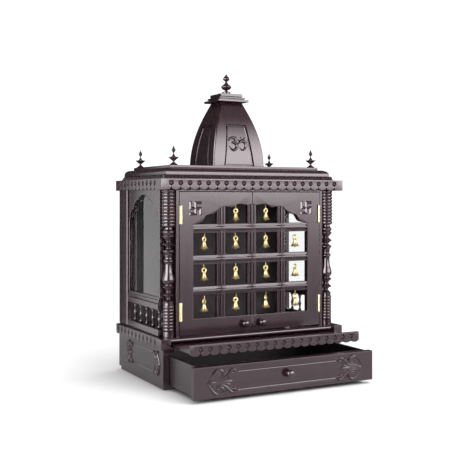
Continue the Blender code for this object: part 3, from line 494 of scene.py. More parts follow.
def softened(node: str, ease: float, steps: int = 2) -> bmesh.types.BMesh:
    """Copy a CAD board and ease its sharp edges.

    Args:
        node: Name of the CAD node.
        ease: Radius of its edges.
        steps: Stretches of the rounding.

    Returns:
        The eased copy.
    """
    shape = bmesh.new()
    shape.from_mesh(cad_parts[node].data)
    bmesh.ops.remove_doubles(shape, verts=shape.verts[:], dist=TOUCH)
    bmesh.ops.dissolve_limit(shape, angle_limit=math.radians(1.0), verts=shape.verts[:],
                             edges=shape.edges[:])
    sharp = [edge for edge in shape.edges if edge.calc_face_angle(0.0) > math.radians(50)]
    bmesh.ops.bevel(shape, geom=sharp, affect="EDGES", offset=ease, segments=steps, profile=0.5,
                    material=-1)
    return shape


def turned(profile: list[Point], sides: int = 32) -> bmesh.types.BMesh:
    """Turn a profile about Z.

    Args:
        profile: Points of radius and height that start and end on the axis.
        sides: Steps of the full turn.

    Returns:
        The turning.
    """
    shape = bmesh.new()
    verts = [shape.verts.new((radius, 0.0, height)) for radius, height in profile]
    edges = [shape.edges.new(pair) for pair in zip(verts, verts[1:])]
    bmesh.ops.spin(shape, geom=verts + edges, cent=(0, 0, 0), axis=(0, 0, 1), dvec=(0, 0, 0),
                   angle=2 * math.pi, steps=sides, use_merge=True)
    bmesh.ops.remove_doubles(shape, verts=shape.verts[:], dist=1e-6)
    return shape


def half_round(low: float, high: float, valley: float, peak: float, steps: int = 5) -> list[Point]:
    """Profile of a half-round ring on a turning.

    Args:
        low: Height of its foot.
        high: Height of its top.
        valley: Radius beside the ring.
        peak: Radius on the ring.
        steps: Stretches of the round.

    Returns:
        Points of radius and height.
    """
    points = []
    for step in range(steps + 1):
        angle = math.pi * step / steps
        points.append((valley + (peak - valley) * math.sin(angle),
                       (low + high) / 2 - (high - low) / 2 * math.cos(angle)))
    return points


def swept(path: list[Vector], radii: list[float], flat: float = 1.0, sides: int = 8) -> bmesh.types.BMesh:
    """Sweep a round or flattened section along a path in the XZ plane.

    Args:
        path: Points of the centre line.
        radii: Radius of the section at each point.
        flat: Height of the section over the plane as a share of its radius.
        sides: Corners of the section.

    Returns:
        The closed sweep.
    """
    shape = bmesh.new()
    rings = []
    for number, (point, radius) in enumerate(zip(path, radii)):
        ahead = path[min(number + 1, len(path) - 1)] - path[max(number - 1, 0)]
        turn = ahead.to_track_quat("Z", "Y").to_matrix()
        made = bmesh.ops.create_circle(shape, cap_ends=number in (0, len(path) - 1), radius=radius,
                                       segments=sides)
        bmesh.ops.rotate(shape, verts=made["verts"], cent=(0, 0, 0), matrix=turn)
        bmesh.ops.scale(shape, verts=made["verts"], vec=(1.0, flat, 1.0))
        bmesh.ops.translate(shape, verts=made["verts"], vec=point)
        rings.append(made["verts"])
    for lower, upper in zip(rings, rings[1:]):
        loops = [edge for ring in (lower, upper) for edge in {e for v in ring for e in v.link_edges}
                 if all(vert in ring for vert in edge.verts)]
        bmesh.ops.bridge_loops(shape, edges=loops)
    return shape


def strand(points: list[Point], steps: int = 5) -> list[Vector]:
    """Smooth centre line in the XZ plane through points."""
    return [Vector((x, 0.0, z)) for x, z in smooth_path(points, steps)]


def tapered(count: int, start: float, middle: float, end: float) -> list[float]:
    """Radii that swell from start to middle and fall to end over a number of points."""
    half = (count - 1) / 2
    return [start + (middle - start) * math.sin(math.pi / 2 * i / half) if i <= half
            else end + (middle - end) * math.cos(math.pi / 2 * (i - half) / half) for i in range(count)]


# Carved boards


@dataclass
class ScallopedBoard:
    """Board with a scalloped lower edge and a carved flower over each notch."""

    length: float
    height: float
    thickness: float
    lead: float
    tail: float
    round_ends: bool = False
    pitch: float = 0.0292
    scallop: float = 0.0098
    flower_radius: float = 0.0080
    flower_drop: float = 0.0120
    ease: float = 0.0010

    def notches(self) -> list[float]:
        """Places of the notches along the board."""
        run = self.length - self.lead - self.tail
        count = max(1, round(run / self.pitch))
        return [self.lead + run * number / count for number in range(count + 1)]

    def outline(self) -> list[Point]:
        """Outline of the board.

        Returns:
            Corners from the top right, with each scallop as an arc.
        """
        places = self.notches()
        bottom = 0.0
        if self.round_ends:
            stops = [0.0, *places, self.length]
            points = [(self.length, self.height), (0.0, self.height), (0.0, self.scallop)]
        else:
            stops = places
            points = [(self.length, self.height), (0.0, self.height), (0.0, bottom),
                      (places[0] - self.scallop / 2, bottom), (places[0], self.scallop)]
        for left, right in zip(stops, stops[1:]):
            middle, half = (left + right) / 2, (right - left) / 2
            for step in range(1, 10):
                angle = math.pi * step / 10
                points.append((middle - half * math.cos(angle),
                               self.scallop * (1 - math.sin(angle) ** 0.8)))
            points.append((right, self.scallop))
        if not self.round_ends:
            points += [(places[-1] + self.scallop / 2, bottom), (self.length, bottom)]
        return points

    def flower(self) -> bmesh.types.BMesh:
        """Hollow five-petalled flower with a button, facing -Y.

        Returns:
            The flower about the origin, its rim level with the board.
        """
        profile = [(0.0, 0.0008), (0.0015, 0.0004), (0.0024, -0.0008), (0.0026, -0.0022), (0.0040, -0.0026),
                   (0.0056, -0.0018), (0.0068, -0.0026), (0.0076, -0.0006), (0.0079, 0.0),
                   (0.0084, -0.0004), (0.0084, -0.0060), (0.0, -0.0060)]
        scale = self.flower_radius / 0.0084
        shape = turned([(radius * scale, deep) for radius, deep in profile], 20)
        for vert in shape.verts:
            radius = math.hypot(vert.co.x, vert.co.y) / scale
            if 0.003 < radius < 0.008 and vert.co.z > -0.005:
                vert.co.z += 0.0007 * math.cos(5 * math.atan2(vert.co.y, vert.co.x))
        return moved(shape, (0.0, 0.0, 0.0), TO_FRONT)

    def shape(self) -> bmesh.types.BMesh:
        """Board with its flowers.

        Returns:
            The board with its lower left corner at the origin, its face towards -Y.
        """
        height = self.height - self.flower_drop
        turns = [2 * math.pi * step / 16 for step in range(16)]
        reach = 0.94 * self.flower_radius
        holes = tuple([(place + reach * math.cos(turn), height + reach * math.sin(turn)) for turn in turns]
                      for place in self.notches())
        parts = [eased_slab(self.outline(), self.thickness, self.ease, holes=holes)]
        parts += [moved(self.flower(), (place, 0.0, height)) for place in self.notches()]
        return joined(*parts)


@dataclass
class ScrollOrnament:
    """Carved scroll: two C-scrolls along its outer edges, two leaves that part and a pointed tongue."""

    length: float = 0.087
    height: float = 0.067
    web_thickness: float = 0.0020
    web_rise: float = 0.0019
    bead_rise: float = 0.0008

    def point(self, along: float, up: float) -> Point:
        """Place from shares of the length and half height."""
        return along * self.length, up * self.height / 2

    def half(self, sign: float) -> list[bmesh.types.BMesh]:
        """Strands of the upper or lower half.

        Args:
            sign: 1 for the upper half, -1 for the lower one.

        Returns:
            The swept strands.
        """
        size = self.height / 2
        edge = [(0.03, 0.02), (0.10, 0.30), (0.20, 0.64), (0.32, 0.92), (0.45, 0.96), (0.55, 0.80),
                (0.56, 0.56), (0.46, 0.40), (0.35, 0.44), (0.34, 0.60)]
        leaf = [(0.14, 0.10), (0.30, 0.22), (0.48, 0.24), (0.62, 0.36), (0.74, 0.62), (0.86, 0.88),
                (0.98, 0.86), (0.97, 0.66), (0.87, 0.60)]
        inner = [(0.10, 0.05), (0.28, 0.10), (0.50, 0.08), (0.66, 0.14), (0.80, 0.30), (0.78, 0.44)]
        strands = []
        for points, width in ((edge, 0.125), (leaf, 0.120), (inner, 0.090)):
            path = strand([self.point(along, sign * up) for along, up in points], 4)
            strands.append(swept(path, tapered(len(path), 0.045 * size, width * size, 0.07 * size),
                                 flat=1.25))
        for along, up, radius in ((0.38, 0.58, 0.102), (0.90, 0.66, 0.120), (0.66, 0.84, 0.084),
                                  (0.76, 0.42, 0.084)):
            bead = bmesh.new()
            bmesh.ops.create_icosphere(bead, subdivisions=2, radius=radius * size)
            across, high = self.point(along, sign * up)
            strands.append(moved(bead, (across, -self.bead_rise, high)))
        return strands

    def shape(self) -> bmesh.types.BMesh:
        """Whole ornament, its tip at the origin, pointing towards -X.

        Returns:
            The ornament, its back at y 0.
        """
        size = self.height / 2
        tongue = strand([self.point(along, 0.0) for along in (0.50, 0.62, 0.74, 0.86, 0.93)], 3)
        heart = strand([self.point(along, 0.0) for along in (0.0, 0.10, 0.20, 0.34)], 3)
        parts = [swept(tongue, tapered(len(tongue), 0.05 * size, 0.15 * size, 0.03 * size), 1.1),
                 swept(heart, tapered(len(heart), 0.03 * size, 0.13 * size, 0.05 * size), 1.2)]
        for sign in (1.0, -1.0):
            parts += self.half(sign)
        web = [(0.02, 0.0), (0.14, 0.36), (0.30, 0.86), (0.48, 0.88), (0.60, 0.60), (0.74, 0.80),
               (0.92, 0.86), (0.88, 0.56), (0.72, 0.30), (0.84, 0.0)]
        upper = [self.point(along, up) for along, up in web]
        lower = [self.point(along, -up) for along, up in reversed(web[1:-1])]
        web_slab = eased_slab(upper + lower, self.web_thickness, 0.0009)
        parts.append(moved(web_slab, (0.0, -self.web_rise, 0.0)))
        return joined(*parts)


def grooved_board(low: Vector, high: Vector, grooves: Point, ends: Point, width: float = 0.0022,
                  depth: float = 0.0016) -> bmesh.types.BMesh:
    """Board with straight V grooves in its -Y face.

    Args:
        low: Lowest corner.
        high: Highest corner.
        grooves: Heights of the grooves.
        ends: Where the grooves start and end along X.
        width: Half width of a groove.
        depth: Depth of a groove.

    Returns:
        The board.
    """
    shape = block(low, high, 0.0012, 3)
    cuts = [((0, 0, height + offset), (0, 0, 1)) for height in grooves for offset in (-width, 0.0, width)]
    cuts += [((place, 0, 0), (1, 0, 0)) for place in (ends[0], ends[0] + width, ends[1] - width, ends[1])]
    for place, across in cuts:
        bmesh.ops.bisect_plane(shape, geom=shape.verts[:] + shape.edges[:] + shape.faces[:], plane_co=place,
                               plane_no=across)
    for vert in shape.verts:
        on_face = abs(vert.co.y - low.y) < TOUCH
        on_line = any(abs(vert.co.z - height) < TOUCH for height in grooves)
        inside = ends[0] + width / 2 < vert.co.x < ends[1] - width / 2
        if on_face and on_line and inside:
            vert.co.y += depth
    return shape


# Sub-assemblies


@dataclass
class Base:
    """Carcass, deck and skirts of the base."""

    deck_nose: float = 0.0068
    groove_heights: Point = (0.043, 0.1005)
    groove_front: float = -0.127
    groove_rear: float = 0.095
    scroll_length: float = 0.049
    scroll_front: float = 0.021
    scroll_rear: float = 0.073
    scroll_middle: float = 0.0714
    skirt_lead: float = 0.020
    skirt_tail: float = 0.0458
    skirt_thickness: float = 0.0095
    return_block: float = 0.030
    runner_heights: Point = (0.1062, 0.1207)
    runner_tail: float = 0.0123

    def build_carcass(self) -> None:
        """Bottom board, back and the two carved sides."""
        place_piece("bottom_board", softened("base_bottom_board", 0.0010), WOOD_ACROSS, "base_bottom_board")
        place_piece("base_back", softened("base_back_panel", 0.0008), WOOD_ACROSS, "base_back_panel")
        low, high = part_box("base_side_right")
        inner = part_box("base_back_panel")[1][0] + GAP
        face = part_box("deck_board")[1][0]
        for side in Side:
            depth = high[1] - low[1]
            board = grooved_board(Vector((0.0, 0.0, low[2])), Vector((depth, face - inner, high[2])),
                                  self.groove_heights,
                                  (self.groove_front - low[1], self.groove_rear - low[1]))
            scroll = ScrollOrnament(self.scroll_length)
            front = moved(scroll.shape(), (self.scroll_front, 0.0, self.scroll_middle))
            rear = moved(scroll.shape(), (-(depth - self.scroll_rear), 0.0, self.scroll_middle))
            bmesh.ops.scale(rear, verts=rear.verts[:], vec=(-1.0, 1.0, 1.0))
            shape = joined(board, front, rear)
            moved(shape, (face, low[1], 0.0), TO_SIDE)
            runner = block(Vector((low[0], low[1], self.runner_heights[0])),
                           Vector((inner + GAP, high[1] - self.runner_tail, self.runner_heights[1])))
            place_piece("base_side_carved_" + side.word, on_side(joined(shape, runner), side), WOOD_DEEP,
                        "base_side_" + side.word)

    def build_deck(self) -> None:
        """Deck board with its rounded front edge."""
        low, high = (Vector(corner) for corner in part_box("deck_board"))
        shape = bmesh.new()
        bmesh.ops.create_cube(shape, size=1.0)
        bmesh.ops.scale(shape, verts=shape.verts[:], vec=high - low)
        bmesh.ops.translate(shape, verts=shape.verts[:], vec=(high + low) / 2)
        nose = [edge for edge in shape.edges if all(abs(vert.co.y - low.y) < TOUCH for vert in edge.verts)
                and abs(edge.verts[0].co.z - edge.verts[1].co.z) < TOUCH]
        bmesh.ops.bevel(shape, geom=nose, affect="EDGES", offset=self.deck_nose, segments=6, profile=0.5,
                        material=-1)
        place_piece("deck_rounded", shape, WOOD_ACROSS, "deck_board")

    def build_skirts(self) -> None:
        """Scalloped skirts on the two sides with their front return blocks."""
        low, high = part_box("skirt_right")
        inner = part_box("deck_board")[1][0] + GAP
        face = inner + self.skirt_thickness
        for side in Side:
            board = ScallopedBoard(high[1] - low[1], high[2] - low[2], self.skirt_thickness,
                                   self.skirt_tail, self.skirt_lead)
            shape = moved(board.shape(), (face, low[1], low[2]), TO_SIDE)
            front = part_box("deck_board")[0][1] - GAP
            end = block(Vector((face - self.return_block, low[1], low[2])),
                        Vector((inner + GAP, front, high[2])), 0.0010)
            place_piece("skirt_scalloped_" + side.word, on_side(joined(shape, end), side), CARVED,
                        "skirt_" + side.word)

    def build(self) -> None:
        """Build the whole base."""
        self.build_carcass()
        self.build_deck()
        self.build_skirts()


@dataclass
class Knob:
    """Turned wooden knob on a short neck."""

    radius: float
    reach: float

    def shape(self) -> bmesh.types.BMesh:
        """Knob that points along -Y.

        Returns:
            The knob, its foot at the origin.
        """
        curve = smooth_path([(0.56, 0.0), (0.50, 0.10), (0.40, 0.28), (0.52, 0.42), (0.90, 0.52),
                             (1.0, 0.66), (0.93, 0.82), (0.66, 0.94), (0.30, 0.99), (0.0, 1.0)], 3)
        profile = [(0.0, 0.0)] + [(share * self.radius, rise * self.reach) for share, rise in curve]
        return moved(turned(profile, 28), (0, 0, 0), TO_FRONT)


@dataclass
class Tray:
    """Pull-out tray behind its scalloped fascia."""

    fascia_thickness: float = 0.0095
    fascia_lead: float = 0.0292

    def build(self) -> None:
        """Fascia and board."""
        low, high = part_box("tray_fascia")
        board = ScallopedBoard(high[0] - low[0], high[2] - low[2], self.fascia_thickness, self.fascia_lead,
                               self.fascia_lead, True)
        shape = moved(board.shape(), (low[0], high[1] - self.fascia_thickness, low[2]))
        place_piece("tray_fascia_scalloped", shape, CARVED, "tray_fascia", Body.TRAY)
        place_piece("tray_shelf", softened("tray_board", 0.0010), WOOD_ACROSS, "tray_board", Body.TRAY)


@dataclass
class Drawer:
    """Drawer box with carved front, knob and scrolls."""

    groove_heights: Point = (0.029, 0.078)
    groove_reach: float = 0.160
    scroll_margin: float = 0.037

    def build(self) -> None:
        """Front, scrolls, knob and box."""
        low, high = (Vector(corner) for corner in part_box("drawer_front"))
        board = grooved_board(low, high, self.groove_heights, (-self.groove_reach, self.groove_reach))
        place_piece("drawer_front_grooved", board, WOOD_ACROSS, "drawer_front", Body.DRAWER)
        middle = (low.z + high.z) / 2
        for side in Side:
            scroll = moved(ScrollOrnament().shape(), (-(high.x - self.scroll_margin), low.y, middle))
            bmesh.ops.scale(scroll, verts=scroll.verts[:], vec=(-side.value, 1.0, 1.0))
            place_piece("drawer_scroll_carved_" + side.word, scroll, CARVED, "drawer_scroll_" + side.word,
                        Body.DRAWER)
        knob_low, knob_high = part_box("drawer_knob")
        knob = Knob((knob_high[0] - knob_low[0]) / 2, knob_high[1] - knob_low[1])
        place_piece("drawer_knob_turned",
                    moved(knob.shape(), (0.0, knob_high[1], (knob_low[2] + knob_high[2]) / 2)), TURNED,
                    "drawer_knob", Body.DRAWER)
        place_piece("drawer_box_joined", softened("drawer_box", 0.0009), DRAWER_PAINTED_SHADE, "drawer_box", Body.DRAWER)


@dataclass
class SideWall:
    """Side of the upper body: post, arched panel, glass, moulded sill and balusters."""

    panel_face: float = 0.2925
    panel_thickness: float = 0.010
    front_strip: float = 0.0045
    rear_strip: float = 0.005
    post_width: float = 0.070
    spring: float = 0.333
    lobes: tuple[Point, ...] = ((0.368, 0.0153), (0.336, 0.0277), (0.296, 0.0338))
    sill_height: float = 0.033
    baluster_pitch: float = 0.048
    baluster_margin: float = 0.0135
    baluster_radius: float = 0.0055
    nose: float = 0.0035
    rail_height: float = 0.0208
    rail_depth: float = 0.017
    foot_height: float = 0.007
    foot_depth: float = 0.0175

    def arch(self, front: float, rear: float, floor: float) -> list[Point]:
        """Cusped arch of the window.

        Args:
            front: Front edge of the window.
            rear: Rear edge of the window.
            floor: Height of the deck.

        Returns:
            Points from the rear springing over the apex to the front one.
        """
        centre, half = (front + rear) / 2, (rear - front) / 2
        curve = []
        reach = 0.0
        height = floor + self.spring + sum(rise for _, rise in self.lobes)
        for share, rise in self.lobes:
            for step in range(1 if curve else 0, 9):
                angle = math.pi / 2 * step / 8
                curve.append((reach + share * half * math.sin(angle),
                              height - rise + rise * math.cos(angle)))
            reach += share * half
            height -= rise
        return [(centre + across, up) for across, up in reversed(curve)] + \
            [(centre - across, up) for across, up in curve[1:]]

    def panel(self, foot: float) -> bmesh.types.BMesh:
        """Arched panel with its post, for the right side.

        Args:
            foot: Height of the sill's top.

        Returns:
            The shape in place.
        """
        low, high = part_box("side_frame_right")
        join = high[1] - self.post_width
        window = (low[1] + self.front_strip, join - self.rear_strip)
        outline = [(low[1], high[2]), (join + GAP, high[2]), (join + GAP, foot), (window[1], foot)]
        outline += self.arch(*window, low[2]) + [(window[0], foot), (low[1], foot)]
        panel = eased_slab(outline, self.panel_thickness, 0.0014, 3)
        moved(panel, (self.panel_face, 0.0, 0.0), TO_SIDE)
        post = block(Vector((low[0], join, low[2])), Vector(high), 0.0035, 4)
        return joined(panel, post)

    def baluster(self, height: float) -> bmesh.types.BMesh:
        """Small turned baluster with a square cap.

        Args:
            height: Height of the baluster.

        Returns:
            The baluster on the origin.
        """
        radius = self.baluster_radius
        curve = smooth_path([(0.62, 0.0), (0.95, 0.07), (0.95, 0.13), (0.50, 0.20), (0.46, 0.24),
                             (0.78, 0.36), (1.0, 0.46), (0.74, 0.56), (0.42, 0.62), (0.66, 0.66),
                             (0.42, 0.70), (0.62, 0.76), (0.86, 0.82), (0.62, 0.88), (0.5, 0.92)], 4)
        profile = [(share * radius, rise * height) for share, rise in [(0.0, 0.0), *curve, (0.0, 0.92)]]
        cap = block(Vector((-radius, -radius, 0.90 * height)), Vector((radius, radius, height)), 0.0006)
        return joined(turned(profile, 20), cap)

    def balustrade(self) -> bmesh.types.BMesh:
        """Moulded sill over turned balusters and a rail, for the right side.

        Returns:
            The shape in place.
        """
        low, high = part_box("side_balustrade_right")
        sill_bottom = high[2] - self.sill_height
        run = high[1] - low[1]
        inner, front, face, nose = low[0], high[0], self.panel_face, self.nose
        rise = self.sill_height
        turns = [math.pi / 2 * step / 5 for step in range(6)]
        section = [(inner, sill_bottom), (front, sill_bottom)]
        section += [(front - nose + nose * math.cos(turn),
                     sill_bottom + rise * (0.30 + 0.22 * math.sin(turn)))
                    for turn in turns]
        section += [(face + 0.002, sill_bottom + rise * 0.58), (face + 0.002, sill_bottom + rise * 0.80),
                    (face + 0.0006, sill_bottom + rise * 0.84), (face, high[2]), (inner, high[2])]
        sill = moved(eased_slab(section, run, 0.0004, 1), (0.0, low[1], 0.0))
        rail_top = low[2] + self.rail_height
        rail = block(Vector(low), Vector((inner + self.rail_depth, high[1], rail_top)), 0.0016, 3)
        foot = block(Vector(low), Vector((inner + self.foot_depth, high[1], low[2] + self.foot_height)),
                     0.0022, 3)
        parts = [sill, rail, foot]
        place = low[1] + self.baluster_margin
        while place + self.baluster_radius < high[1]:
            parts.append(moved(self.baluster(sill_bottom - rail_top + 2 * GAP),
                               (inner + self.baluster_radius, place, rail_top - GAP)))
            place += self.baluster_pitch
        return joined(*parts)

    def build(self) -> None:
        """Both sides, with their glass."""
        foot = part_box("side_balustrade_right")[1][2] + GAP
        for side in Side:
            place_piece("side_arch_" + side.word, on_side(self.panel(foot), side), WOOD_UP,
                        "side_frame_" + side.word)
            place_piece("side_rail_" + side.word, on_side(self.balustrade(), side), WOOD_DEEP,
                        "side_balustrade_" + side.word)
            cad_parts["side_glass_" + side.word].data.materials[0] = WINDOW.material()


@dataclass
class Column:
    """Turned column: ringed foot, vase and flanges, ringed shaft."""

    radius: float = 0.0197
    slim: float = 0.016548
    centre: Point = (0.271, -0.155)
    pad_height: float = 0.017
    foot_rings: int = 8
    foot_pitch: float = 0.0093
    shaft_rings: int = 11
    shaft_pitch: float = 0.0098
    shaft_start: float = 0.4647
    knots: tuple[Point, ...] = (
        (0.0140, 0.2455), (0.0150, 0.2480), (0.0098, 0.2535), (0.0060, 0.2580), (0.0085, 0.2625),
        (0.0168, 0.2680), (0.0110, 0.2735), (0.0076, 0.2790), (0.0110, 0.2850), (0.0168, 0.2910),
        (0.0114, 0.2970), (0.0152, 0.3030), (0.0178, 0.3120), (0.0152, 0.3250), (0.0124, 0.3340),
        (0.0111, 0.3500), (0.0114, 0.3600), (0.0149, 0.3660), (0.0111, 0.3730), (0.0114, 0.3800),
        (0.0124, 0.3870), (0.0171, 0.3950), (0.0110, 0.3995), (0.0079, 0.4030), (0.0110, 0.4070),
        (0.0178, 0.4130), (0.0120, 0.4185), (0.0076, 0.4236), (0.0130, 0.4300), (0.0178, 0.4380),
        (0.0140, 0.4410), (0.0178, 0.4495), (0.0130, 0.4560), (0.0114, 0.4616))

    @staticmethod
    def rings(start: float, count: int, pitch: float, radius: float) -> list[Point]:
        """Profile of a run of half-round rings.

        Args:
            start: Height of the lowest ring's foot.
            count: Number of rings.
            pitch: Height of a ring with its quirk.
            radius: Radius on the rings.

        Returns:
            Points of radius and height.
        """
        points = []
        for ring in range(count):
            low = start + ring * pitch
            points += half_round(low, low + pitch * 0.94, radius * 0.86, radius)
        return points

    def profile(self, bottom: float, top: float) -> list[Point]:
        """Profile from the deck to the roof.

        Args:
            bottom: Height of the deck.
            top: Height of the roof's underside.

        Returns:
            Points of radius and height.
        """
        slim, neck, pad = self.slim, self.radius * 0.89, bottom + self.pad_height
        points = [(0.0, bottom), (slim * 0.97, bottom), (slim * 0.98, bottom + 0.001), (slim * 0.98, pad)]
        points += self.rings(pad + 0.0012, self.foot_rings, self.foot_pitch, slim)
        points += smooth_path(list(self.knots), 4)
        points += self.rings(self.shaft_start, self.shaft_rings, self.shaft_pitch, self.radius)
        shaft_end = self.shaft_start + self.shaft_rings * self.shaft_pitch
        points += [(neck, shaft_end + 0.001), (neck, top), (0.0, top)]
        return points

    def build(self) -> None:
        """Both columns."""
        low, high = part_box("column_right")
        for side in Side:
            shape = moved(turned(self.profile(low[2], high[2]), 36), (*self.centre, 0.0))
            place_piece("column_turned_" + side.word, on_side(shape, side), TURNED, "column_" + side.word,
                        crease=50.0)


@dataclass
class Carcass:
    """Flat boards of the upper body."""

    head_recess: float = 0.010
    head_margin: float = 0.020
    head_depth: float = 0.004

    def build(self) -> None:
        """Back, roof and door frame."""
        for name, node, finish in (("upper_back", "back_panel", BACKING_PAINTED_SHADE),
                                   ("roof_plain", "roof_board", WOOD_ACROSS)):
            low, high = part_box(node)
            place_piece(name, block(low, high), finish, node)
        surround = softened("door_frame", 0.0008)
        low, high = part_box("door_frame")
        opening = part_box("door_right")[1]
        for vert in surround.verts:
            within = abs(vert.co.x) < opening[0] - self.head_margin and vert.co.z > opening[2]
            if within and vert.co.y < low[1] + self.head_depth:
                vert.co.y += self.head_recess
        place_piece("door_surround", surround, WOOD_UP, "door_frame")


@dataclass
class Bell:
    """Small brass bell on a ring and a wire."""

    mouth: float = 0.0130
    cup_top: float = -0.0250
    cup_foot: float = -0.0462
    ring_centre: float = -0.0183
    ring_radius: float = 0.0056
    ring_wire: float = 0.0025
    ring_stretch: float = 1.12
    wire: float = 0.0008
    clapper: float = 0.0026
    clapper_drop: float = 0.0012

    def shape(self, yaw: float, lean: float) -> bmesh.types.BMesh:
        """Bell that hangs from the origin.

        Args:
            yaw: How far the ring is turned, in degrees.
            lean: How far the wire leans sideways, in metres.

        Returns:
            The bell.
        """
        drop = self.cup_foot - self.cup_top
        outer = smooth_path([(0.0, 0.0), (0.20, 0.01), (0.32, 0.08), (0.40, 0.22), (0.50, 0.42),
                             (0.64, 0.63), (0.82, 0.83), (1.0, 0.975)], 4)
        inner = smooth_path([(0.97, 1.0), (0.76, 0.85), (0.57, 0.64), (0.42, 0.40), (0.0, 0.22)], 3)
        profile = [(share * self.mouth, self.cup_top + rise * drop) for share, rise in outer + inner]
        cup = turned(profile, 28)
        ball, rod, heart = self.clapper, self.cup_foot + 0.002, self.cup_foot - self.clapper_drop
        turns = [math.pi * step / 6 for step in range(1, 6)]
        clapper = turned([(0.0, -0.036), (self.wire, -0.036), (self.wire, rod)]
                         + [(ball * math.sin(turn), heart + ball * math.cos(turn)) for turn in turns]
                         + [(0.0, heart - ball)], 12)
        ring = bmesh.new()
        made = bmesh.ops.create_circle(ring, cap_ends=False, radius=self.ring_wire, segments=10)
        bmesh.ops.translate(ring, verts=made["verts"], vec=(self.ring_radius, 0.0, 0.0))
        bmesh.ops.spin(ring, geom=ring.verts[:] + ring.edges[:], cent=(0, 0, 0), axis=(0, 1, 0),
                       dvec=(0, 0, 0), angle=2 * math.pi, steps=24, use_merge=True)
        bmesh.ops.remove_doubles(ring, verts=ring.verts[:], dist=1e-6)
        bmesh.ops.scale(ring, verts=ring.verts[:], vec=(1.0, 1.0, self.ring_stretch))
        moved(ring, (0.0, 0.0, self.ring_centre), Matrix.Rotation(math.radians(yaw), 3, "Z"))
        top = self.ring_centre + self.ring_radius
        hook = strand([(lean, -0.0004), (lean * 0.8, -0.005), (lean * 0.3, top + 0.002),
                       (0.0, top - 0.001)], 4)
        wire = swept(hook, [self.wire] * len(hook))
        return joined(cup, clapper, ring, wire)


